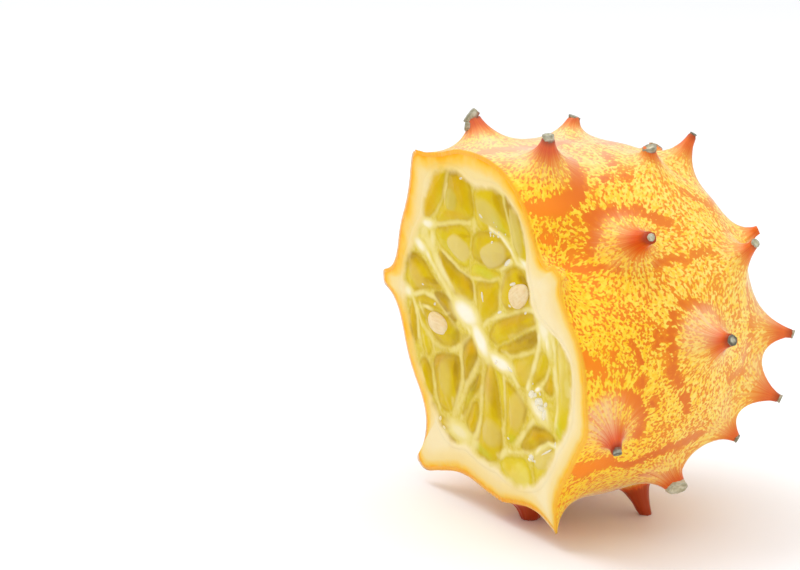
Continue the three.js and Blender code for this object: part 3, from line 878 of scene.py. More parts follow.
# ---- Pulp ----
# The wet middle: juice sacs of yellow-green jelly, each in a thin pale skin, packed round a white
# core whose arms run out to the pith. The cut leaves every sac as a low wet dome.
SACS = (  # tone at top and foot, 0 dark to 1 pale, their change painted shade and light; then points right and up
    (0.4, 0.45, (-22.3, 20, -22, 23, -20.5, 26, -17.5, 29, -14.5, 31.5, -11.5, 32.5, -10.6, 31,
                 -11.6, 28, -13.6, 25, -16, 23, -18, 21, -20, 19.8)),
    (0.3, 0.5, (-10.3, 31.5, -8, 32.2, -5, 31.7, -3, 30.3, -2, 28, -1.9, 25, -2.3, 22.8, -5, 22,
                -9, 21.4, -13, 20.6, -16, 19.3, -17.2, 20.2, -16, 22, -13.3, 24.7, -11.2, 28)),
    (0.35, 0.65, (-1.4, 22.4, -1.5, 25, -1.5, 28, 0.3, 30, 4, 31, 7.5, 30.8, 9.6, 29.5, 10.2, 26.5,
                  11.2, 23.5, 11.8, 21.2, 9, 22, 6, 22.8, 4, 22, 2, 21, 0.5, 21)),
    (0.2, 0.6, (10.6, 27.5, 10.6, 29.7, 12.2, 30.5, 14.5, 29, 16.5, 26, 17.8, 22.5, 17.8, 19.5,
                16.5, 17.5, 14.6, 17.5, 13.3, 19, 12.7, 21.5, 12, 24.4)),
    (0.4, 0.75, (-17.5, 18.2, -14, 19.3, -10, 20.4, -6.5, 20.7, -3.8, 19.7, -4.2, 17.5, -5, 15,
                 -5.2, 12.7, -7, 12, -10, 12.3, -13, 13.5, -16, 14.8, -17.6, 16.2)),
    (0.45, 0.35, (-3.9, 14.7, -3.3, 18.5, -0.8, 20.6, 3, 21.1, 5, 21.3, 8, 20.6, 11, 18.6, 11.6, 17.6,
                  10, 16.8, 8.3, 15.8, 6.5, 14.6, 3, 14, 0, 14)),
    (0.75, 0.7, (-4.6, 11, -4.4, 12.8, -2, 13.7, 2, 13.6, 5, 13.7, 6.6, 13.2, 5.6, 12.3, 3, 11.7,
                 0, 11.1, -3, 10.6)),
    (0.3, 0.5, (6.8, 11, 8.6, 13.8, 11, 15.8, 14, 15.9, 16.3, 14.5, 17.5, 12, 17.2, 10, 15, 8.3,
                12, 7.2, 9, 6.6, 6.8, 7.2, 6.1, 9)),
    (0.2, 0.4, (-17.4, 13, -16, 13.8, -13, 12.2, -10, 11, -7, 10.6, -4.9, 9.7, -4.3, 8.3, -4.4, 6.5,
                -6, 5.2, -9, 4.8, -12, 5.5, -15, 7.5, -16.9, 10)),
    (0.45, 0.6, (-3.2, 2.7, -3.1, 6, -2.8, 9.6, 0, 10.4, 3, 10.9, 5.6, 11.8, 5.5, 9.3, 5, 7.2,
                 4.6, 5.8, 2, 4.2, 0, 2.3, -2, 1.7)),
    (0.2, 0.5, (-31.5, 5, -31, 8, -29.5, 10.5, -27.5, 11.3, -25, 10.8, -22.5, 9.6, -21.5, 8, -19, 6.8,
                -16.8, 5.8, -18, 5, -22, 4.7, -25, 4.2, -28, 3.2, -30.5, 3)),
    (0.05, 0.15, (-20.6, 4.2, -18.5, 4.6, -15.5, 4.9, -13.2, 3.1, -11.8, 1, -12.2, -0.7, -14, -0.4,
                  -17, 1.3, -20, 2.8)),
    (0.5, 0.5, (-28.6, 1, -26, 2.5, -22, 2.8, -19, 2.2, -16.5, 0.9, -15.2, 0.4, -17, 0.6, -20, 0.8,
                -24, 0.9, -27.2, 0)),
    (0.8, 0.75, (-25.5, 15.5, -22.5, 16.2, -20.6, 15, -19.4, 11.5, -18.6, 8.8, -20, 9.4, -21, 12,
                -22.5, 14, -24.5, 14.7)),
    (0.35, 0.2, (-32.4, -4.5, -31, -1, -29.9, 0.3, -29, -1.5, -28.8, -5, -29.2, -8, -30.5, -8.3)),
    (0.45, 0.5, (-27.8, -2, -26.4, -0.5, -25.2, -1.8, -23.9, -3.6, -22.9, -6, -22.9, -8.3,
                 -24.7, -10.3, -27.2, -9, -28, -5)),
    (0.35, 0.45, (-25.6, -0.5, -24.4, -3, -22.5, -5.2, -20, -6.3, -16.6, -6.4, -13.4, -5.7,
                  -11.4, -4, -11, -2.2, -12.4, -1, -15, -0.3, -17, 0, -20, 0.1, -23.5, 0)),
    (0.25, 0.5, (-23.2, -12, -22.4, -10, -20.6, -8.8, -17.5, -8.1, -14.5, -7.8, -12.3, -7.6,
                 -11.9, -9, -12.1, -12.5, -13.2, -15.2, -15.4, -18.6, -17, -20.4, -19, -21,
                 -21.6, -20.5, -22.4, -18, -22.6, -15)),
    (0.2, 0.2, (-10.2, -5.4, -9.4, -3.8, -7.3, -2.8, -5.2, -3, -4.4, -5, -5.1, -7, -7.2, -9,
                  -9.2, -11.4, -10.5, -13.2, -10.6, -9)),
    (0.3, 0.4, (-4, -9.2, -5.4, -10.2, -8, -12.8, -10, -15.2, -11.6, -18, -12.8, -20, -11.6, -19.8,
                 -9.6, -17.2, -7.6, -14.8, -5.6, -13.2, -4.4, -11.4)),
    (0.25, 0.35, (-5.5, -15.6, -5.9, -18.8, -7.2, -21.8, -9, -23.3, -11, -22.9, -10.9, -20.9,
                 -9.3, -18.2, -7.3, -16)),
    (0.35, 0.3, (-22.4, -22.4, -20, -22.6, -17.6, -23, -17.6, -24.2, -20, -24.8, -22.6, -24.6)),
    (0.2, 0.3, (-21.4, -26.4, -18, -26, -16.2, -26.8, -16, -28.4, -18.4, -29, -20.8, -28.2)),
    (0.3, 0.4, (-28.8, -12, -26.5, -10.8, -24.6, -12, -24, -15.5, -24.2, -18.5, -25.6, -19.6,
                -27.8, -17.5, -29, -14.5)),
    (0.25, 0.4, (-26, -21, -24.3, -20.4, -23.4, -22, -24, -23.6, -25.6, -23.2)),
    (0.3, 0.5, (-0.8, -6.2, -2.4, -9.5, -3.2, -13, -3.9, -17, -5.2, -20.6, -7, -23.6, -8.1, -25.8,
                -6.8, -27.2, -3.2, -27.7, -0.7, -26.8, 1.4, -24.8, 2.5, -22.2, 2.8, -18.8,
                2.9, -14.7, 2.5, -10.5, 1.4, -7)),
    (0.7, 0.55, (2.4, -7.4, 3.2, -7.3, 4.7, -8.5, 4.9, -11, 4.4, -15, 3.9, -18, 3.3, -15, 3.2, -11)),
    (0.4, 0.6, (5.6, -8.5, 7, -8.7, 9, -9.7, 11, -10.7, 12.8, -12.5, 12.5, -14.3, 10.7, -16.8,
                8.7, -19, 6.3, -21.2, 4.3, -21.7, 4.7, -19, 5.2, -14, 5.4, -10.5)),
    (0.15, 0.3, (13.5, -17.1, 15.6, -15.5, 18, -15.4, 21, -15.4, 23, -16.2, 22.5, -17.2, 20, -17.5,
                17.5, -18.7, 15, -20.4, 12, -21.4, 9.3, -21.7, 10.7, -20)),
    (0.45, 0.55, (9.2, -3.4, 11.5, -2.9, 14, -1.9, 16, -0.9, 17.2, -0.4, 16.7, -1.8, 15.6, -4.1,
                  14.1, -6.5, 12.8, -8.1, 11, -8.4, 9.5, -7, 9, -5)),
    (0.5, 0.5, (19.7, 0.4, 21, 0.9, 22.3, 0.2, 22.3, -1.8, 21.2, -3.8, 19.3, -5.3, 17.5, -6.5,
                15.8, -7.5, 16.9, -4.5, 18.4, -2)),
    (0.4, 0.35, (22.9, -2.9, 23.5, -5, 23.2, -7.8, 21, -7.6, 19.8, -6.8, 21.3, -5.2)),
    (0.3, 0.5, (0.2, -1, 1.7, 1.6, 4, 3.2, 8, 4.8, 12, 6.2, 16, 7.5, 19, 7.6, 19.4, 6, 17, 4.9,
                13, 3, 9, 1, 6, -0.6, 3, -1.8)),
    (0.05, 0.35, (7.4, -0.8, 10, 0.4, 13, 2, 16, 3.6, 19, 4.6, 19.2, 2.8, 17.6, 1.1, 15, 0, 12, -1.2,
                  9, -2.3, 6, -2.9, 3.6, -3, 4, -2)),
    (0.55, 0.75, (25.2, 0, 26, 3, 28, 4.3, 30, 3, 30.9, 0, 30.9, -4, 30, -8, 29, -12, 27.5, -14.6,
                 25, -16.1, 23.9, -15.2, 22.8, -13.8, 23.1, -11, 24.2, -9, 25.2, -6, 25.3, -3)),
    (0.9, 0.85, (21.4, 1.4, 22, 3.2, 23.2, 4.3, 24, 3, 23.8, 0.4, 22.9, 0.4)),
    (0.85, 0.85, (1.2, -26.4, 3.5, -25, 7, -24.1, 10.5, -23.8, 12.2, -24.8, 13.1, -27, 12.6, -29,
                  10, -30.3, 6, -31, 3, -30, 1.4, -28.3)),
    (0.6, 0.7, (13.8, -24, 14.3, -22.6, 16, -21.4, 19, -19.5, 22, -18.7, 23.3, -19.3, 22.3, -21.7,
                 20.3, -24, 18, -26.5, 15.5, -28, 14.2, -28, 14.2, -26)),
)
VEILED_SEEDS = (  # right, up, half length, half width, turn, how clear it is, green share
    (-9.9, 25.5, 2.7, 2.2, 20, 0.8, 1.0),
    (4.2, 25.2, 4.7, 2.6, -14, 0.75, 0.5),
    (14.0, 23.1, 4.8, 2.0, -78, 0.9, 0.5),
    (-8.4, 15.8, 3.9, 2.5, -8, 0.95, 0.0),
    (4.9, 16.9, 5.0, 2.4, 22, 1.0, 0.2),
    (-17.8, -13.2, 4.4, 2.3, 88, 0.45, 0.2),
    (-1.1, -21, 3.4, 2.8, 20, 0.6, 0.0),
    (-0.8, -12, 4.4, 1.7, 78, 0.3, 0.0),
    (9.4, -13.8, 4.7, 2.6, 62, 0.55, 0.0),
    (18.3, -21.4, 4.4, 1.9, 28, 0.8, 0.0),
    (27.8, -4, 5.0, 1.5, 92, 0.4, 0.0),
    (-26.6, 6.4, 3.4, 2.0, -30, 0.35, 0.0),
    (13.5, -4.6, 2.6, 2.4, 40, 0.3, 0.0),
)
WHITE_LINES = (  # walls and arms, one brightened as a painted highlight: half width, strength, then points right and up
    (1.2, 0.9, (-11.2, 2.4, -7.6, 1.6, -3.4, -1.2, 0, -4.2, 3.4, -5.4)),
    (0.5, 0.8, (-9.5, 2.2, -9, 0.2, -7, -1.4)),
    (0.7, 0.8, (3.4, -5.4, 6.4, -5, 8.4, -6.4, 10, -8.4)),
    (1.0, 0.95, (-11.5, 3.4, -15.5, 6.4, -18.4, 8.8, -21.2, 11.4, -23.4, 13.2)),
    (0.6, 0.75, (-19.2, 17, -18.4, 12.4, -16.4, 9, -13.4, 6)),
    (0.2, 0.35, (-19, 20.2, -17, 21.6, -14.2, 24.4, -12.2, 27.6, -11, 30.6)),
    (0.2, 0.45, (-13, 24, -12.6, 26.4, -11.4, 28.2)),
    (0.3, 0.4, (-17.2, 19, -13, 20, -8, 21.2, -3.4, 21.6)),
    (0.5, 0.4, (-1.6, 22.2, -2, 20.4)),
    (0.25, 0.5, (-17.4, 14.6, -13, 12.8, -9, 11.3, -4.4, 10.2)),
    (0.3, 0.4, (-3.8, 10, -3.8, 5)),
    (0.25, 0.5, (-4.4, 10.3, 0, 10.9, 3, 11.4, 6, 12.4)),
    (0.35, 0.65, (-1.4, 0.8, 1, 2.8, 5, 4.6, 10, 6, 15, 7.8, 19, 8.4)),
    (0.9, 0.35, (5.8, 6.2, 6.2, 9, 7, 11.4, 8.6, 13.6)),
    # Painted highlight: this wall is drawn at full strength for the glare along its wet ridge.
    (0.35, 1.0, (4.4, 22, 8, 21.4, 10.6, 19.8, 12.4, 17.9)),
    (0.4, 0.9, (12.2, 18.2, 13.6, 16.8, 16.6, 16.6, 18.4, 14)),
    (0.3, 0.9, (7.2, 14.2, 9, 15.4, 11.6, 16.8)),
    (0.2, 0.3, (9.9, 30, 10.3, 27.4, 11.6, 23.8, 12.4, 19.8)),
    (0.8, 0.75, (23.6, 8, 24.6, 3, 24.8, -3, 25, -9, 24, -13)),
    (0.4, 0.35, (26.8, 4, 26.6, -3, 26.8, -10)),
    (0.4, 0.35, (28.6, 4.6, 29.4, 0, 29, -6)),
    (0.6, 0.9, (20.6, 10, 20.3, 5, 19.7, 2, 18, -1.4, 16.2, -4.4, 14.2, -8)),
    (0.25, 0.5, (22.8, -1.8, 21, -5, 18.4, -7.2)),
    (0.2, 0.35, (8.4, 1, 12, 2.6, 15.6, 4.2, 19.4, 5.2)),
    (0.25, 0.4, (5.2, -2.6, 9, -3, 12, -2, 15, -0.8, 18, 0.4)),
    (0.4, 0.55, (15.2, -14.6, 12.8, -16.6, 10, -19.4, 8, -21.4)),
    (0.35, 0.8, (5, -23.4, 8.4, -22.8, 12.6, -21.9, 14.6, -21.6, 17.6, -19.4, 20.4, -18, 23.6, -17.7)),
    (0.3, 0.8, (23.6, -17.8, 23.4, -20, 21.6, -22.4)),
    (0.5, 0.4, (0.6, -25.4, 3.4, -23.8, 5, -23.4)),
    (0.25, 0.4, (3, -19.4, 3.2, -22.6)),
    (0.25, 0.45, (5.2, -7.8, 5.1, -11, 4.6, -16, 3.4, -20)),
    (0.7, 0.5, (-2.2, -5.6, -3.2, -10.5, -4.3, -13.8, -4.8, -16.8, -5.7, -19.8, -7.2, -22.8,
                -9.2, -25)),
    (0.7, 0.42, (-4, -6.6, -7.3, -10.2, -9.8, -13.2, -12.3, -16.8, -14.8, -19.6, -16.4, -22)),
    (0.3, 0.38, (-4.8, -13.6, -8.2, -15.8, -10.7, -18.6, -13.4, -21.4)),
    (0.5, 0.42, (-11.4, -5.6, -11.1, -9, -11.4, -12.6, -13.4, -16, -15.8, -19.6, -16.8, -22)),
    (0.3, 0.35, (-15.8, -17.4, -16.6, -21)),
    (0.25, 0.3, (-18.2, -17.8, -17.4, -21)),
    (0.5, 0.4, (-24.4, -5.4, -22, -7, -17.3, -7, -13.2, -6.4, -10, -4.2, -7.4, -2.2)),
    (0.3, 0.5, (-28.8, -0.2, -26, -3.6, -22.4, -6.8)),
    (0.25, 0.35, (-28.4, -4, -27.4, -8.2)),
    (0.25, 0.35, (-25.8, -6.2, -25.2, -9.6)),
    (0.25, 0.3, (-24, -6.6, -22.8, -9.6)),
    (0.4, 0.5, (-11, -1.6, -12.4, -1.4, -14.6, -0.3)),
    (0.25, 0.55, (-13, 1.4, -16, 0.4, -20.6, 3.1, -24.6, 3.5, -28.8, 2, -31, 2.4)),
    (0.25, 0.5, (-29.4, 1, -28, -2.4, -28.4, -7)),
    (0.3, 0.6, (-26.6, 0.4, -25.6, -1.2)),
    (0.3, 0.35, (-24.6, -2.6, -23, -5.8, -22.2, -8.4)),
    (0.3, 0.35, (-23.6, -11, -23.4, -15, -23, -19.4, -22, -21)),
)
WHITE_PATCHES = (  # the core, the corners and three painted glints: right, up, half length, half width, turn, strength
    (-8.0, 2.4, 5.4, 2.9, -10, 1.0),
    (-2.9, -2.2, 4.9, 2.5, -50, 1.0),
    (4.4, -5.3, 5.0, 1.7, -8, 1.0),
    (-20.6, 18.6, 3.4, 1.2, 5, 0.85),
    (-24.4, 18.2, 4.0, 1.4, 0, 0.5),
    (-19.2, 15.4, 2.4, 1.2, 75, 0.6),
    (-24.4, 13.4, 3.4, 1.6, -20, 0.85),
    (-26.6, 15.0, 3.0, 2.2, 30, 0.5),
    (-22.4, 16.6, 3.0, 1.6, 60, 0.45),
    (20.2, 11, 6, 2.0, 90, 0.85),
    (-8.6, -25.4, 2.4, 1.4, 30, 0.5),
    (-14.4, -24.2, 5.4, 2.3, -6, 0.7),
    (-16.0, 9.6, 6.0, 1.5, -44, 0.6),
    (-20.6, 14.4, 3.4, 1.3, -40, 0.5),
    (-9.0, 0.6, 5.0, 1.6, -20, 0.5),
    (21.8, 5.4, 4.0, 2.6, 90, 0.8),
    (27.6, 1.0, 4.4, 2.2, 95, 0.3),
    (2.8, -24.4, 2.2, 0.9, 40, 0.55),
    (22.6, 3.4, 3.6, 1.4, 100, 0.75),
    (28.0, 5.2, 3.0, 1.0, -40, 0.45),
    (31.4, 0.6, 4.0, 0.8, 95, 0.4),
    (-31.4, 2.2, 2.4, 1.4, 0, 0.8),
    (24.0, -12.0, 3.0, 0.7, 70, 0.5),
    (16.6, 17.0, 2.6, 0.8, -20, 0.85),
    (22.4, 6.4, 1.8, 1.2, 90, 0.7),
    (24.9, 2.6, 2.4, 0.7, 90, 0.6),
    (17.4, -11.8, 4.2, 2.2, -30, 0.8),
    (20.4, -12, 2.4, 0.8, -80, 0.7),
    # Painted glints on the wet jelly.
    (15.4, -9.2, 1.2, 0.7, 0, 1.0),
    (18.2, -7.5, 1.5, 0.5, 25, 1.0),
    (13.4, -22.4, 1.3, 0.7, 40, 0.95),
    (-23.4, 0.2, 2.2, 0.5, -4, 0.6),
)
PAINTED_SHADES = (  # painted shade in the jelly: right, up, half length, half width, turn, strength
    (15.6, 13.6, 2.4, 0.8, -20, 0.7),
    (17.2, 11.2, 1.8, 0.5, 75, 0.7),
    (12.6, 28.8, 2.2, 1.4, 0, 0.35),
    (16.8, 23.5, 4.0, 0.7, -78, 0.5),
    (9.6, 16.6, 1.9, 0.5, 30, 0.6),
    (-5.8, 9.4, 3.0, 1.0, -45, 0.5),
    (-21, 6.3, 3.6, 0.8, 4, 0.5),
    (-27.4, 10.2, 2.8, 1.0, -8, 0.3),
    (-8.6, 31, 2.4, 0.8, 5, 0.4),
    (8.6, 27.6, 3.0, 1.3, -55, 0.4),
    (-13.6, -12.8, 4.5, 1.0, 86, 0.5),
    (-20, -9.8, 2.8, 0.9, 20, 0.4),
    (-6.6, -11.8, 3.4, 0.9, 55, 0.6),
    (-12.9, -3.8, 2.6, 1.0, 55, 0.4),
    (12.4, -14.3, 2.6, 0.7, 66, 0.5),
    (23, -16.6, 0.9, 0.5, 0, 0.7),
    (1.2, -15.6, 3.0, 1.4, 84, 0.3),
    (-7.6, 12.1, 2.4, 0.6, 0, 0.3),
    (-6.6, 18.6, 2.4, 0.5, 6, 0.5),
    (17.4, 2.6, 1.8, 0.8, 30, 0.4),
    (30.2, -2.6, 4.6, 0.6, 95, 0.35),
)
HUES = (  # right, up, half length, half width, turn, how golden (less than 0 for green)
    (-17.0, 26.0, 7.6, 2.2, 55, 0.9),
    (-6.0, 28.0, 3.4, 2.4, -40, 0.5),
    (-10.0, 22.4, 5.0, 1.0, 10, 0.6),
    (-7.0, 9.0, 2.6, 1.6, -40, 0.5),
    (2.4, 7.6, 2.6, 3.0, 60, 0.5),
    (10.0, 4.6, 6.0, 1.3, 22, 0.5),
    (11.0, 9.6, 2.0, 3.0, 0, 0.3),
    (-6.6, -4.6, 2.6, 1.6, 30, 0.8),
    (-20.2, -9.8, 3.2, 1.2, 30, 0.7),
    (-8.6, -20.0, 3.4, 1.2, 65, 0.4),
    (-0.4, -10.0, 4.0, 1.6, 80, 0.6),
    (9.2, -14.2, 4.0, 2.4, 62, 0.5),
    (18.0, -17.0, 4.0, 1.2, 12, 0.6),
    (12.6, -5.0, 3.0, 2.0, 40, 0.4),
    (22.4, -5.6, 1.6, 2.0, 0, 0.5),
    (-26.0, 7.0, 3.6, 2.0, -20, 0.5),
    (-30.4, -3.0, 1.4, 3.4, 0, 0.6),
    (0.6, 12.4, 5.0, 1.3, 0, -0.7),
    (8.0, 23.4, 3.2, 1.6, -50, -0.6),
    (-1.6, 17.0, 1.6, 4.0, 0, -0.4),
    (7.0, -27.0, 3.4, 2.0, 0, 0.3),
    (-14.0, 16.4, 3.0, 2.6, -20, -0.4),
    (-8.8, -15.0, 4.6, 1.0, 50, -0.5),
    (-5.0, -26.0, 3.4, 1.4, -10, -0.8),
    (6.6, -20.6, 2.0, 1.4, 0, -0.7),
    (24.6, -13.6, 3.0, 1.8, 60, -0.7),
    (21.0, 0.0, 1.6, 3.0, -20, -0.3),
    (-13.0, -3.4, 2.0, 2.6, 0, -0.4),
    (16.8, 23.0, 0.8, 5.0, 10, -0.5),
)
PULP_SPACING = 0.27
PULP_REACH = 37.0
PULP_OVERLAP = 1.3  # how far the pulp's surface runs on over the pith
PULP_WAVES = ((0.22, 4.0, 4, 6), (0.12, 1.5, 5, 7))  # height, length and a seed for each way
PULP_RIPPLES = ((0.12, 3.0, 8), (0.05, 1.1, 9))  # height, length and seed
BETWEEN_TONE = 0.8  # between the sacs
SAC_BLEND = (-0.6, 0.4)  # depths inside the outline of a sac where its jelly starts and is full
SAC_SLOPE = (-0.2, 3.2)  # depths where its dome starts and is at its highest
TONE_CHANGE = (0.15, 0.85)  # shares of a sac's height between which its tone changes, as painted shade and light
WALL_FULLNESS = 0.75
WALL_CHANGES = ((0.6, 5.0, 11), (0.3, 2.0, 12))  # change in fullness, length and seed
WALL_WIDTH = 1.5
WALL_STRENGTH = 0.88
WALL_SOFTNESS = 0.6
GLOW_STRENGTH = 0.3
GLOW_SOFTNESS = 1.2
# Shares of an oval's size inside which it is full, and outside which it is gone.
PATCH_EDGE = (0.2, 1.6)
PAINTED_SHADE_EDGE = (0.5, 1.3)
HUE_EDGE = (0.3, 1.5)
HUE_DRIFT = (0.3, 6.0, 13)  # change in hue, length and seed
SEED_EDGE = 0.4  # how soft the outline of a seed is that hardly shows
PULP_FLOOR = -0.3
WALL_RISE = 0.2
SAC_RISE = 0.6
SEED_RISE = 0.4
SPARKLE_PLACE = (18.0, -9.5)
SPARKLE_REACH = 3.4
SPARKLE_RISE = 0.4
SPARKLE_GRAIN = (1.2, 10)  # length and seed
PULP_EDGE = 0.12  # the pulp meets the pith at this height
PULP_EDGE_SLOPE = (-0.2, 1.8)  # distances from the pith over which it comes to that height
PULP_EDGE_DIP = 0.16
PULP_SIDE = 1.0
PULP_DEPTH = 1.8
PULP_UNDER_SHARE = 0.9  # share of the way to its middle at which the underside has a ring

pulp_mesh = bmesh.new()
grid_steps = int(2 * PULP_REACH / PULP_SPACING)
bmesh.ops.create_grid(
    pulp_mesh, x_segments=grid_steps, y_segments=grid_steps, size=PULP_REACH)
flat = np.array([vert.co.xy for vert in pulp_mesh.verts])
edge_gap = pith_inner(np.degrees(np.arctan2(flat[:, 1], flat[:, 0])) % 360) - np.hypot(*flat.T)
outside = [vert for vert, gap in zip(pulp_mesh.verts[:], edge_gap) if gap < -PULP_OVERLAP]
bmesh.ops.delete(pulp_mesh, geom=outside, context="VERTS")
flat = flat[edge_gap >= -PULP_OVERLAP]
edge_gap = edge_gap[edge_gap >= -PULP_OVERLAP]
flat_bearing = np.degrees(np.arctan2(flat[:, 1], flat[:, 0])) % 360
skin_reach = np.interp(flat_bearing, spoke_bearing, inner_radius, period=360) - np.hypot(*flat.T)
upright = np.column_stack((flat, np.zeros(len(flat))))
waved = flat.copy()
for wave_height, wave_length, *seeds_each_way in PULP_WAVES:
    for axis, seed in enumerate(seeds_each_way):
        waved[:, axis] += wave_height * wobble(upright, wave_length, seed)


def wobbles(*changes):
    """Smooth noises added up over the pulp, each with its height, length and seed."""
    return sum(change * wobble(upright, length, seed) for change, length, seed in changes)


def rounded(points, rounds=2):
    """A closed outline with its corners cut off, given as right, up, right, up and so on."""
    outline = np.array(points).reshape(-1, 2)
    for _ in range(rounds):
        after = np.roll(outline, -1, axis=0)
        outline = np.stack((0.75 * outline + 0.25 * after, 0.25 * outline + 0.75 * after), axis=1)
        outline = outline.reshape(-1, 2)
    return outline


def line_gap(points, start, end):
    """How far points are from a straight line between two ends."""
    run = end - start
    share = np.clip((points - start) @ run / (run @ run), 0, 1)
    return np.linalg.norm(points - start - share[:, None] * run, axis=1)


def depth_inside(points, outline):
    """How far inside an outline points are; less than 0 outside it."""
    gap = np.full(len(points), 99.0)
    crossings = np.zeros(len(points), int)
    for start, end in zip(outline, np.roll(outline, -1, axis=0)):
        gap = np.minimum(gap, line_gap(points, start, end))
        spans = (start[1] > points[:, 1]) != (end[1] > points[:, 1])
        slope = (end[0] - start[0]) / (end[1] - start[1]) if end[1] != start[1] else 0.0
        crossings += spans & (points[:, 0] < start[0] + slope * (points[:, 1] - start[1]))
    return np.where(crossings % 2 == 1, gap, -gap)


def oval_share(points, right, up, half_length, half_width, turn):
    """0 at the middle of an oval and 1 at its edge."""
    angle = math.radians(turn)
    across = points - (right, up)
    along = (across[:, 0] * math.cos(angle) + across[:, 1] * math.sin(angle)) / half_length
    aside = (across[:, 1] * math.cos(angle) - across[:, 0] * math.sin(angle)) / half_width
    return np.hypot(along, aside)


def oval_cover(patch, edge):
    """How strongly an oval patch, with its strength last, covers the pulp."""
    *oval, strength = patch
    return strength * (1 - smooth(oval_share(waved, *oval), *edge))


inside = np.full(len(flat), -9.0)
tone = np.full(len(flat), BETWEEN_TONE)
# Each sac's tone changes from top to foot as painted shade and light.
for top_tone, foot_tone, points in SACS:
    outline = rounded(points)
    low, high = outline.min(axis=0) - 0.8, outline.max(axis=0) + 0.8
    near = np.flatnonzero(np.all((waved > low) & (waved < high), axis=1))
    depth = depth_inside(waved[near], outline)
    share = (waved[near, 1] - low[1]) / (high[1] - low[1])
    here = foot_tone + (top_tone - foot_tone) * smooth(share, *TONE_CHANGE)
    deeper = depth > inside[near]
    tone[near[deeper]] = here[deeper]
    inside[near[deeper]] = depth[deeper]
sac = smooth(inside, *SAC_BLEND)

# The walls are faint and full in turn, with a soft glow of thinner skin on both sides.
fullness = WALL_FULLNESS + wobbles(*WALL_CHANGES)
white = np.zeros(len(flat))
for half_width, strength, points in WHITE_LINES:
    points = np.array(points).reshape(-1, 2)
    for start, end in zip(points, points[1:]):
        gap = line_gap(waved, start, end)
        width = WALL_WIDTH * half_width * np.clip(fullness, 0.5, 1.2)
        edge = 1 - smooth(gap - 0.1 * width, 0, 0.9 * width + WALL_SOFTNESS)
        edge *= np.clip(fullness, 0.4, 1)
        glow = 1 - smooth(gap, 0, WALL_WIDTH * half_width + GLOW_SOFTNESS)
        wall = WALL_STRENGTH * strength * np.maximum(edge, GLOW_STRENGTH * glow)
        white = np.maximum(white, wall)
for patch in WHITE_PATCHES:
    white = np.maximum(white, oval_cover(patch, PATCH_EDGE))
# Painted shade: ovals where the jelly is darkened.
shade = np.zeros(len(flat))
for patch in PAINTED_SHADES:
    shade = np.maximum(shade, oval_cover(patch, PAINTED_SHADE_EDGE))
hue = wobbles(HUE_DRIFT)
for patch in HUES:
    hue += oval_cover(patch, HUE_EDGE)
veil = np.zeros(len(flat))
veil_green = np.zeros(len(flat))
seed_rise = np.zeros(len(flat))
for *oval, clear, green in VEILED_SEEDS:
    share = oval_share(waved, *oval)
    softness = SEED_EDGE * (1.3 - clear)
    cover = clear * (1 - smooth(share, 1.0 - softness, 1.0 + softness))
    veil_green = np.where(cover > veil, green, veil_green)
    veil = np.maximum(veil, cover)
    seed_rise = np.maximum(seed_rise, clear * np.sqrt(np.clip(1 - share**2, 0, 1)))

# Sacs and seeds stand up as low domes and walls as ridges; the edge lies on the pith.
height = PULP_FLOOR + WALL_RISE * white + SAC_RISE * sac * smooth(inside, *SAC_SLOPE)
height += SEED_RISE * seed_rise + wobbles(*PULP_RIPPLES)
sparkle = np.exp(-((np.linalg.norm(flat - SPARKLE_PLACE, axis=1) / SPARKLE_REACH) ** 2))
height += SPARKLE_RISE * sparkle * np.abs(wobble(upright, *SPARKLE_GRAIN))
height += (PULP_EDGE - height) * (1 - smooth(edge_gap, *PULP_EDGE_SLOPE))
height -= PULP_EDGE_DIP * (1 - smooth(edge_gap, -PULP_OVERLAP, -0.3))

shape(
    pulp_mesh,
    on_face(flat[:, 0], flat[:, 1], height),
    sac=sac,
    sac_inside=inside,
    tone=tone,
    white=white,
    shade=shade,
    hue=hue,
    veil=veil,
    veil_green=veil_green,
    edge_gap=edge_gap,
    from_skin=golden_depth(skin_reach, flat_bearing),
)
pulp_edges = [edge for edge in pulp_mesh.edges if edge.is_boundary]
pulp_edges = drawn_in(pulp_mesh, pulp_edges, lambda place: Vector(-PULP_SIDE * CUT_OUT))
PULP_UNDER = Vector(CUT_POINT - PULP_DEPTH * CUT_OUT)
pulp_edges = drawn_in(
    pulp_mesh, pulp_edges, lambda place: PULP_UNDER_SHARE * (PULP_UNDER - place))
middle = list({corner for edge in pulp_edges for corner in edge.verts})
bmesh.ops.pointmerge(pulp_mesh, verts=middle, merge_co=PULP_UNDER)
bmesh.ops.recalc_face_normals(pulp_mesh, faces=pulp_mesh.faces[:])


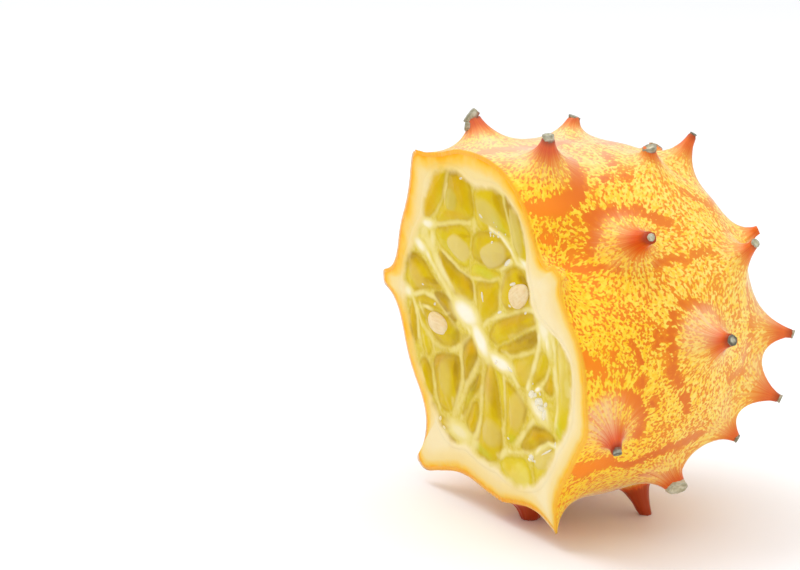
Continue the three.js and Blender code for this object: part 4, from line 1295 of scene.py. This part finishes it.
def pulp_finish():
    jelly = Finish("pulp")
    place = jelly.object_place()
    white = jelly.attribute("white")
    veil = jelly.attribute("veil")
    cloud = jelly.noise(place, 0.28, detail=3.0)
    fibre = jelly.noise(place, 1.1, detail=3.0)

    drift = jelly.noise(place, 0.16, detail=2.0)
    tone = jelly.plus(jelly.attribute("tone"), jelly.step(drift, 0.3, 0.7, -0.12, 0.12))
    # Painted shade: the shade ovals darken the jelly, and each sac is darker at its edge and lighter
    # in its middle.
    tone = jelly.minus(tone, jelly.times(jelly.attribute("shade"), 0.5))
    tone = jelly.plus(tone, jelly.step(jelly.attribute("sac_inside"), 0.0, 1.6, -0.09, 0.07))
    green = jelly.ramp(tone, ("B08A00", "C8A200", "D8B804", "DEC420", "E8D460"))
    hue = jelly.attribute("hue")
    green = jelly.mix(jelly.step(hue, 0.0, 1.0, 0.0, 0.7), green, "DCA808")
    green = jelly.mix(jelly.step(hue, -1.0, 0.0, 0.6, 0.0), green, "C6C61C")
    wall = jelly.mix(jelly.step(fibre, 0.3, 0.7), "D8BE3A", "E4CE68")
    wall = jelly.mix(jelly.step(cloud, 0.4, 0.6, 0.35, 0.0), wall, green)
    colour = jelly.mix(jelly.attribute("sac"), wall, green)
    # A thin painted shade runs along the edge of each sac, and a faint painted highlight just inside
    # it.
    inside = jelly.plus(jelly.attribute("sac_inside"), jelly.step(fibre, 0.3, 0.7, -0.2, 0.2))
    painted_shade_line = jelly.times(jelly.step(inside, -0.45, -0.05), jelly.step(inside, 0.0, 0.4, 1.0, 0.0))
    colour = jelly.mix(jelly.times(painted_shade_line, 0.15), colour, "A48C10")
    painted_highlight_line = jelly.times(jelly.step(inside, 0.2, 0.6), jelly.step(inside, 0.7, 1.5, 1.0, 0.0))
    colour = jelly.mix(jelly.times(painted_highlight_line, 0.08), colour, "E0CE74")
    flesh = jelly.mix(jelly.attribute("veil_green"), "DFC87A", "CEBC58")
    colour = jelly.mix(jelly.times(veil, 0.8), colour, flesh)
    colour = jelly.mix(jelly.step(white, 0.0, 0.6, 0.0, 0.9), colour, "F0DE90")
    # The whitest colour also makes the painted glints and the painted glare along one wall.
    colour = jelly.mix(jelly.step(white, 0.5, 1.0), colour, "FDF3DA")
    gap = jelly.plus(jelly.attribute("edge_gap"), jelly.step(cloud, 0.3, 0.7, -0.4, 0.4))
    edge = jelly.step(gap, -0.1, 1.9, 1.0, 0.0)
    colour = jelly.mix(edge, colour, flesh_colour(jelly, place))
    jelly.set(Base_Color=colour, Roughness=0.26, IOR=1.38)
    jelly.set(Subsurface_Weight=0.15, Subsurface_Scale=0.001, Subsurface_Radius=(1.6, 1.3, 0.5))
    jelly.set(Specular_IOR_Level=0.04, Coat_Weight=0.05, Coat_Roughness=0.1)
    jelly.bump(fibre, 0.25, 0.00015)
    return jelly.material


pulp = piece_from(pulp_mesh, "pulp")
pulp.data.materials.append(pulp_finish())

# ---- Seeds ----
# Flat pale seeds; the two that the knife left bare lie in the face in a wet film. The rest stay in
# their sacs and only show through the jelly.
BARE_SEEDS = (  # right, up, half length, half width, half thickness, turn, height of its middle
    (13.6, 10.5, 3.9, 2.25, 1.1, 30, -0.15),
    (-19.2, -2.3, 4.1, 2.2, 1.0, -3, -0.2),
)
SEED_TAPER = 0.16  # a seed is this much narrower at one end
SEED_SIDE_FULLNESS = 0.08  # its sides and its faces are fuller than an oval's by these shares
SEED_FACE_FULLNESS = 0.15


def turned_on_face(right, up, turn, along, aside, out):
    """A place given along, beside and out from a point of the cut face, after a turn there."""
    angle = math.radians(turn)
    place_right = right + along * math.cos(angle) - aside * math.sin(angle)
    place_up = up + along * math.sin(angle) + aside * math.cos(angle)
    return Vector(on_face(place_right, place_up, out))


seeds_mesh = bmesh.new()
seed_way = seeds_mesh.verts.layers.float_vector.new("seed_way")
for right, up, half_length, half_width, half_thickness, turn, middle_out in BARE_SEEDS:
    result = bmesh.ops.create_uvsphere(seeds_mesh, u_segments=48, v_segments=28, radius=1)
    for corner in result["verts"]:
        way = corner.co.copy()
        corner[seed_way] = way
        aside = half_width * way.y * (1 - SEED_TAPER * way.x)
        aside *= 1 + SEED_SIDE_FULLNESS * (1 - way.y**2)
        out = half_thickness * way.z * (1 + SEED_FACE_FULLNESS * (1 - way.z**2))
        corner.co = turned_on_face(right, up, turn, half_length * way.x, aside, middle_out + out)
bmesh.ops.recalc_face_normals(seeds_mesh, faces=seeds_mesh.faces[:])


def seeds_finish():
    seed = Finish("seeds")
    place = seed.object_place()
    way = seed.attribute("seed_way", "Vector")
    grain = seed.noise(seed.stretched(way, (1.5, 7.0, 3.0)), 1.0, detail=3.0)
    colour = seed.mix(seed.step(grain, 0.3, 0.7), "E4C68E", "EED4A2")
    cloud = seed.noise(place, 0.5, detail=2.0)
    colour = seed.mix(seed.step(cloud, 0.4, 0.7, 0.0, 0.5), colour, "F5E2BA")
    seed.set(Base_Color=colour, Roughness=0.3, IOR=1.4)
    seed.set(Subsurface_Weight=0.3, Subsurface_Scale=0.001, Subsurface_Radius=(1.5, 1.1, 0.6))
    seed.set(Specular_IOR_Level=0.1, Coat_Weight=0.1, Coat_Roughness=0.06)
    seed.bump(grain, 0.3, 0.0001)
    return seed.material


seeds = piece_from(seeds_mesh, "seeds")
seeds.data.materials.append(seeds_finish())

# ---- Juice ----
# Clear juice that ran out of the sacs as the knife went through them: small flat drops that stand
# on the pulp, crowded together in three places. They are painted a near-white cream and only partly
# see-through, as highlights on the wet face.
DROPS = (  # right, up, half length, half width, turn
    (0.0, 7.4, 1.1, 0.4, 105), (12.0, 12.5, 1.3, 0.35, 20), (5.2, 5.3, 1.0, 0.35, 25),
    (2.2, 24.4, 0.7, 0.35, -30), (9.9, 16.3, 1.7, 0.5, 32), (9.6, 7.6, 0.5, 0.4, 0),
    (3.0, -5.3, 0.9, 0.35, 40), (7.8, -5.7, 1.0, 0.4, -20), (15.5, -9.0, 1.2, 0.8, 30),
    (19.6, -12.2, 1.5, 0.7, 60), (13.6, -22.4, 0.9, 0.6, 10), (19.4, -20.0, 2.6, 0.25, 30),
    (22.9, -17.6, 0.8, 0.3, 80), (-20.5, 1.6, 0.5, 0.3, 30), (-5.6, 30.4, 0.6, 0.3, 20),
    (5.2, -20.6, 0.4, 0.3, 0), (15.2, 7.3, 0.6, 0.3, 40), (-24.6, 5.0, 0.4, 0.25, 0),
)
DROP_CLUSTERS = (  # right, up, reach across, reach up, how many, smallest and largest radius
    (6.4, 21.2, 3.0, 1.4, 16, 0.12, 0.32),
    (18.2, -9.6, 2.6, 2.8, 14, 0.2, 0.8),
    (13.8, -22.6, 1.4, 0.8, 6, 0.2, 0.4),
)
DROP_FLATNESS = 0.6
DROP_SINK = 0.25
DROP_LENGTHS = (1.0, 1.8)  # a drop's length as a share of its width
DROP_SEED = 8

chance = random.Random(DROP_SEED)
drops = list(DROPS)
for right, up, across, along, count, smallest, largest in DROP_CLUSTERS:
    for _ in range(count):
        place = (chance.gauss(right, 0.5 * across), chance.gauss(up, 0.5 * along))
        radius = chance.uniform(smallest, largest)
        length = radius * chance.uniform(*DROP_LENGTHS)
        drops.append((*place, length, radius, chance.uniform(0, 180)))
juice_mesh = bmesh.new()
for right, up, half_length, half_width, turn in drops:
    nearest_point = np.argmin(np.hypot(flat[:, 0] - right, flat[:, 1] - up))
    middle_out = height[nearest_point] - DROP_SINK * half_width
    result = bmesh.ops.create_icosphere(juice_mesh, subdivisions=3, radius=half_width)
    for corner in result["verts"]:
        along = corner.co.x * half_length / half_width
        out = middle_out + DROP_FLATNESS * corner.co.z
        corner.co = turned_on_face(right, up, turn, along, corner.co.y, out)
bmesh.ops.recalc_face_normals(juice_mesh, faces=juice_mesh.faces[:])


def juice_glint_finish():
    drop = Finish("juice_and_glints")
    # Painted highlight: near-white cream, only partly see-through, so that the drops read as glints.
    drop.set(Base_Color="FFF8DC", Roughness=0.03, IOR=1.36, Alpha=0.68)
    drop.set(Specular_IOR_Level=1.0, Coat_Weight=1.0, Coat_Roughness=0.02)
    return drop.material


juice_and_glints = piece_from(juice_mesh, "juice_and_glints")
juice_and_glints.data.materials.append(juice_glint_finish())

# ---- Floor and light ----
# A white table top under even white light, with two large soft lamps above. The one in front on
# the left throws the half's shadow back to the right.
FLOOR_HALF_WIDTH = 3.0
FLOOR_COLOUR = (0.94, 0.95, 0.98, 1.0)
WHITE = (1.0, 1.0, 1.0, 1.0)
SURROUND_STRENGTH = 0.8
LAMP_TARGET = Vector((0.0, 0.0, 0.04))
LAMPS = (  # name, place, width, power
    ("key_light", (-0.35, -0.35, 1.0), 0.6, 4),
    ("top_light", (0.15, 0.2, 1.1), 1.2, 4),
)

floor_mesh = bmesh.new()
bmesh.ops.create_grid(floor_mesh, x_segments=1, y_segments=1, size=FLOOR_HALF_WIDTH)
floor_data = bpy.data.meshes.new("floor")
floor_mesh.to_mesh(floor_data)
floor_mesh.free()
floor = bpy.data.objects.new("floor", floor_data)
bpy.context.collection.objects.link(floor)
table = Finish("table")
table.set(Base_Color=FLOOR_COLOUR, Roughness=0.6)
floor.data.materials.append(table.material)

world = bpy.data.worlds.new("studio")
bpy.context.scene.world = world
world.use_nodes = True
background = world.node_tree.nodes["Background"]
background.inputs["Color"].default_value = WHITE
background.inputs["Strength"].default_value = SURROUND_STRENGTH

for name, place, width, power in LAMPS:
    lamp_data = bpy.data.lights.new(name, "AREA")
    lamp_data.shape = "SQUARE"
    lamp_data.size = width
    lamp_data.energy = power
    lamp = bpy.data.objects.new(name, lamp_data)
    bpy.context.collection.objects.link(lamp)
    lamp.location = place
    lamp.rotation_euler = (Vector(place) - LAMP_TARGET).to_track_quat("Z", "Y").to_euler()

bpy.context.scene.view_settings.view_transform = "Standard"
